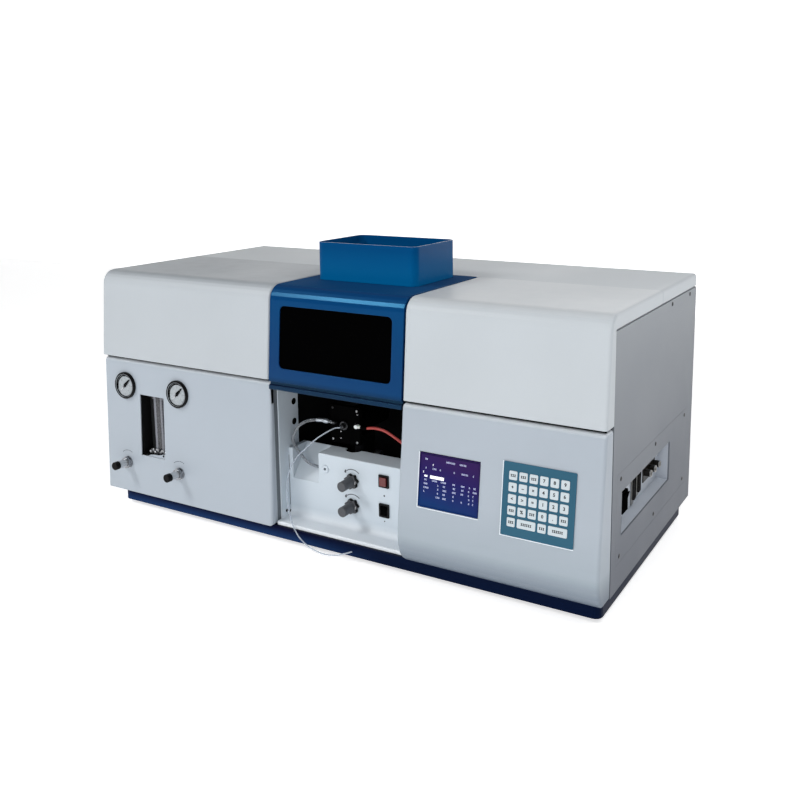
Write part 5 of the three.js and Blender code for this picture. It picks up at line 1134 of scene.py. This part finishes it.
# Fan guard on the rear
def make_fan_guard():
    wire, stand_off, rings = 0.9, 1.9, (10, 17, 24, 31, 38, 44)
    spoke_start, spoke_end, spoke_half, spoke_thick, spoke_lift = 9, 53, 0.8, 1.4, 0.1
    face = rear_face(FAN_X, FAN_Z)
    turns = [2 * math.pi * k / 8 for k in range(9)]
    guard = bmesh.new()
    for radius in rings:
        section = [(radius + wire * math.cos(a), stand_off + wire * math.sin(a)) for a in turns]
        merge(guard, turned(face, section, 40))
    piece("fan_guard", from_bmesh(guard, "fan_guard"), CHROME, "case", smooth=True)
    spokes = Print(spoke_thick)
    spoke = [(spoke_start, -spoke_half), (spoke_end, -spoke_half), (spoke_end, spoke_half),
             (spoke_start, spoke_half)]
    for k in range(4):
        spokes.blade(face, math.radians(45 + 90 * k), spoke, spoke_lift)
    spokes.build("fan_guard_spokes", CHROME, slot="plated_steel")


make_fan_guard()

# Stage and light
STAGE_HALF = 12.0
FLOOR_FRONT, FLOOR_BACK, SWEEP_RADIUS, BACKDROP_TOP = -9.0, 2.2, 1.6, 2.9
SWEEP_START = FLOOR_BACK + 1.0


def stage_sheet(name, rows, glow):
    """A sheet of white paper along rows of (y, z)."""
    bm = bmesh.new()
    ends = [bm.verts.new((x, *rows[0])) for x in (STAGE_HALF, -STAGE_HALF)]
    edges = [bm.edges.new(ends)]
    for here, there in zip(rows, rows[1:]):
        grown = bmesh.ops.extrude_edge_only(bm, edges=edges)
        edges = new_items(grown, bmesh.types.BMEdge)
        step = (0.0, there[0] - here[0], there[1] - here[1])
        bmesh.ops.translate(bm, vec=step, verts=new_items(grown, bmesh.types.BMVert))
    mesh = bpy.data.meshes.new(name)
    bm.to_mesh(mesh)
    bm.free()
    made = bpy.data.objects.new(name, mesh)
    bpy.context.scene.collection.objects.link(made)
    s = Shader(name + "_paper")
    base = s.mix(s.ramp(s.noise(1.5), 0.0, 1.0), (0.88, 0.88, 0.88), (0.9, 0.9, 0.9))
    s.set(Base_Color=base, Roughness=0.6, Emission_Color=(1.0, 1.0, 1.0), Emission_Strength=glow,
          Specular_IOR_Level=0.2)
    mesh.materials.append(s.mat)
    for polygon in mesh.polygons:
        polygon.use_smooth = True
    return made


def make_stage():
    turns = [math.radians(9 * k) for k in range(11)]
    sweep = [(SWEEP_START + SWEEP_RADIUS * math.sin(a), SWEEP_RADIUS * (1.0 - math.cos(a))) for a in turns]
    floor = stage_sheet("floor", [(FLOOR_FRONT, 0.0), (FLOOR_BACK, 0.0)], 0.62)
    top = (SWEEP_START + SWEEP_RADIUS, BACKDROP_TOP)
    backdrop = stage_sheet("backdrop", [(FLOOR_BACK, 0.0), *sweep, top], 0.95)


def area_light(name, spot, target, size, power, colour=(1.0, 1.0, 1.0)):
    data = bpy.data.lights.new(name, "AREA")
    data.shape = "RECTANGLE"
    data.size, data.size_y = size
    data.energy = power
    data.color = colour
    made = bpy.data.objects.new(name, data)
    bpy.context.scene.collection.objects.link(made)
    made.location = spot
    made.rotation_euler = (Vector(target) - Vector(spot)).to_track_quat("-Z", "Y").to_euler()


def make_world():
    world = bpy.data.worlds.new("studio")
    world.use_nodes = True
    sky = world.node_tree.nodes["Background"]
    sky.inputs["Color"].default_value = (0.93, 0.96, 1.0, 1.0)
    sky.inputs["Strength"].default_value = 0.1
    bpy.context.scene.world = world


make_stage()
area_light("key", (-1.75, -2.1, 2.5), (0.0, 0.0, 0.25), (0.9, 0.9), 46.0, (1.0, 0.99, 0.97))
area_light("front", (0.5, -4.1, 1.4), (0.0, 0.0, 0.3), (2.6, 1.6), 55.0)
area_light("right", (1.15, -0.3, 1.45), (0.45, 0.0, 0.2), (0.8, 0.8), 8.0)
make_world()
bpy.context.scene.view_settings.view_transform = "Standard"
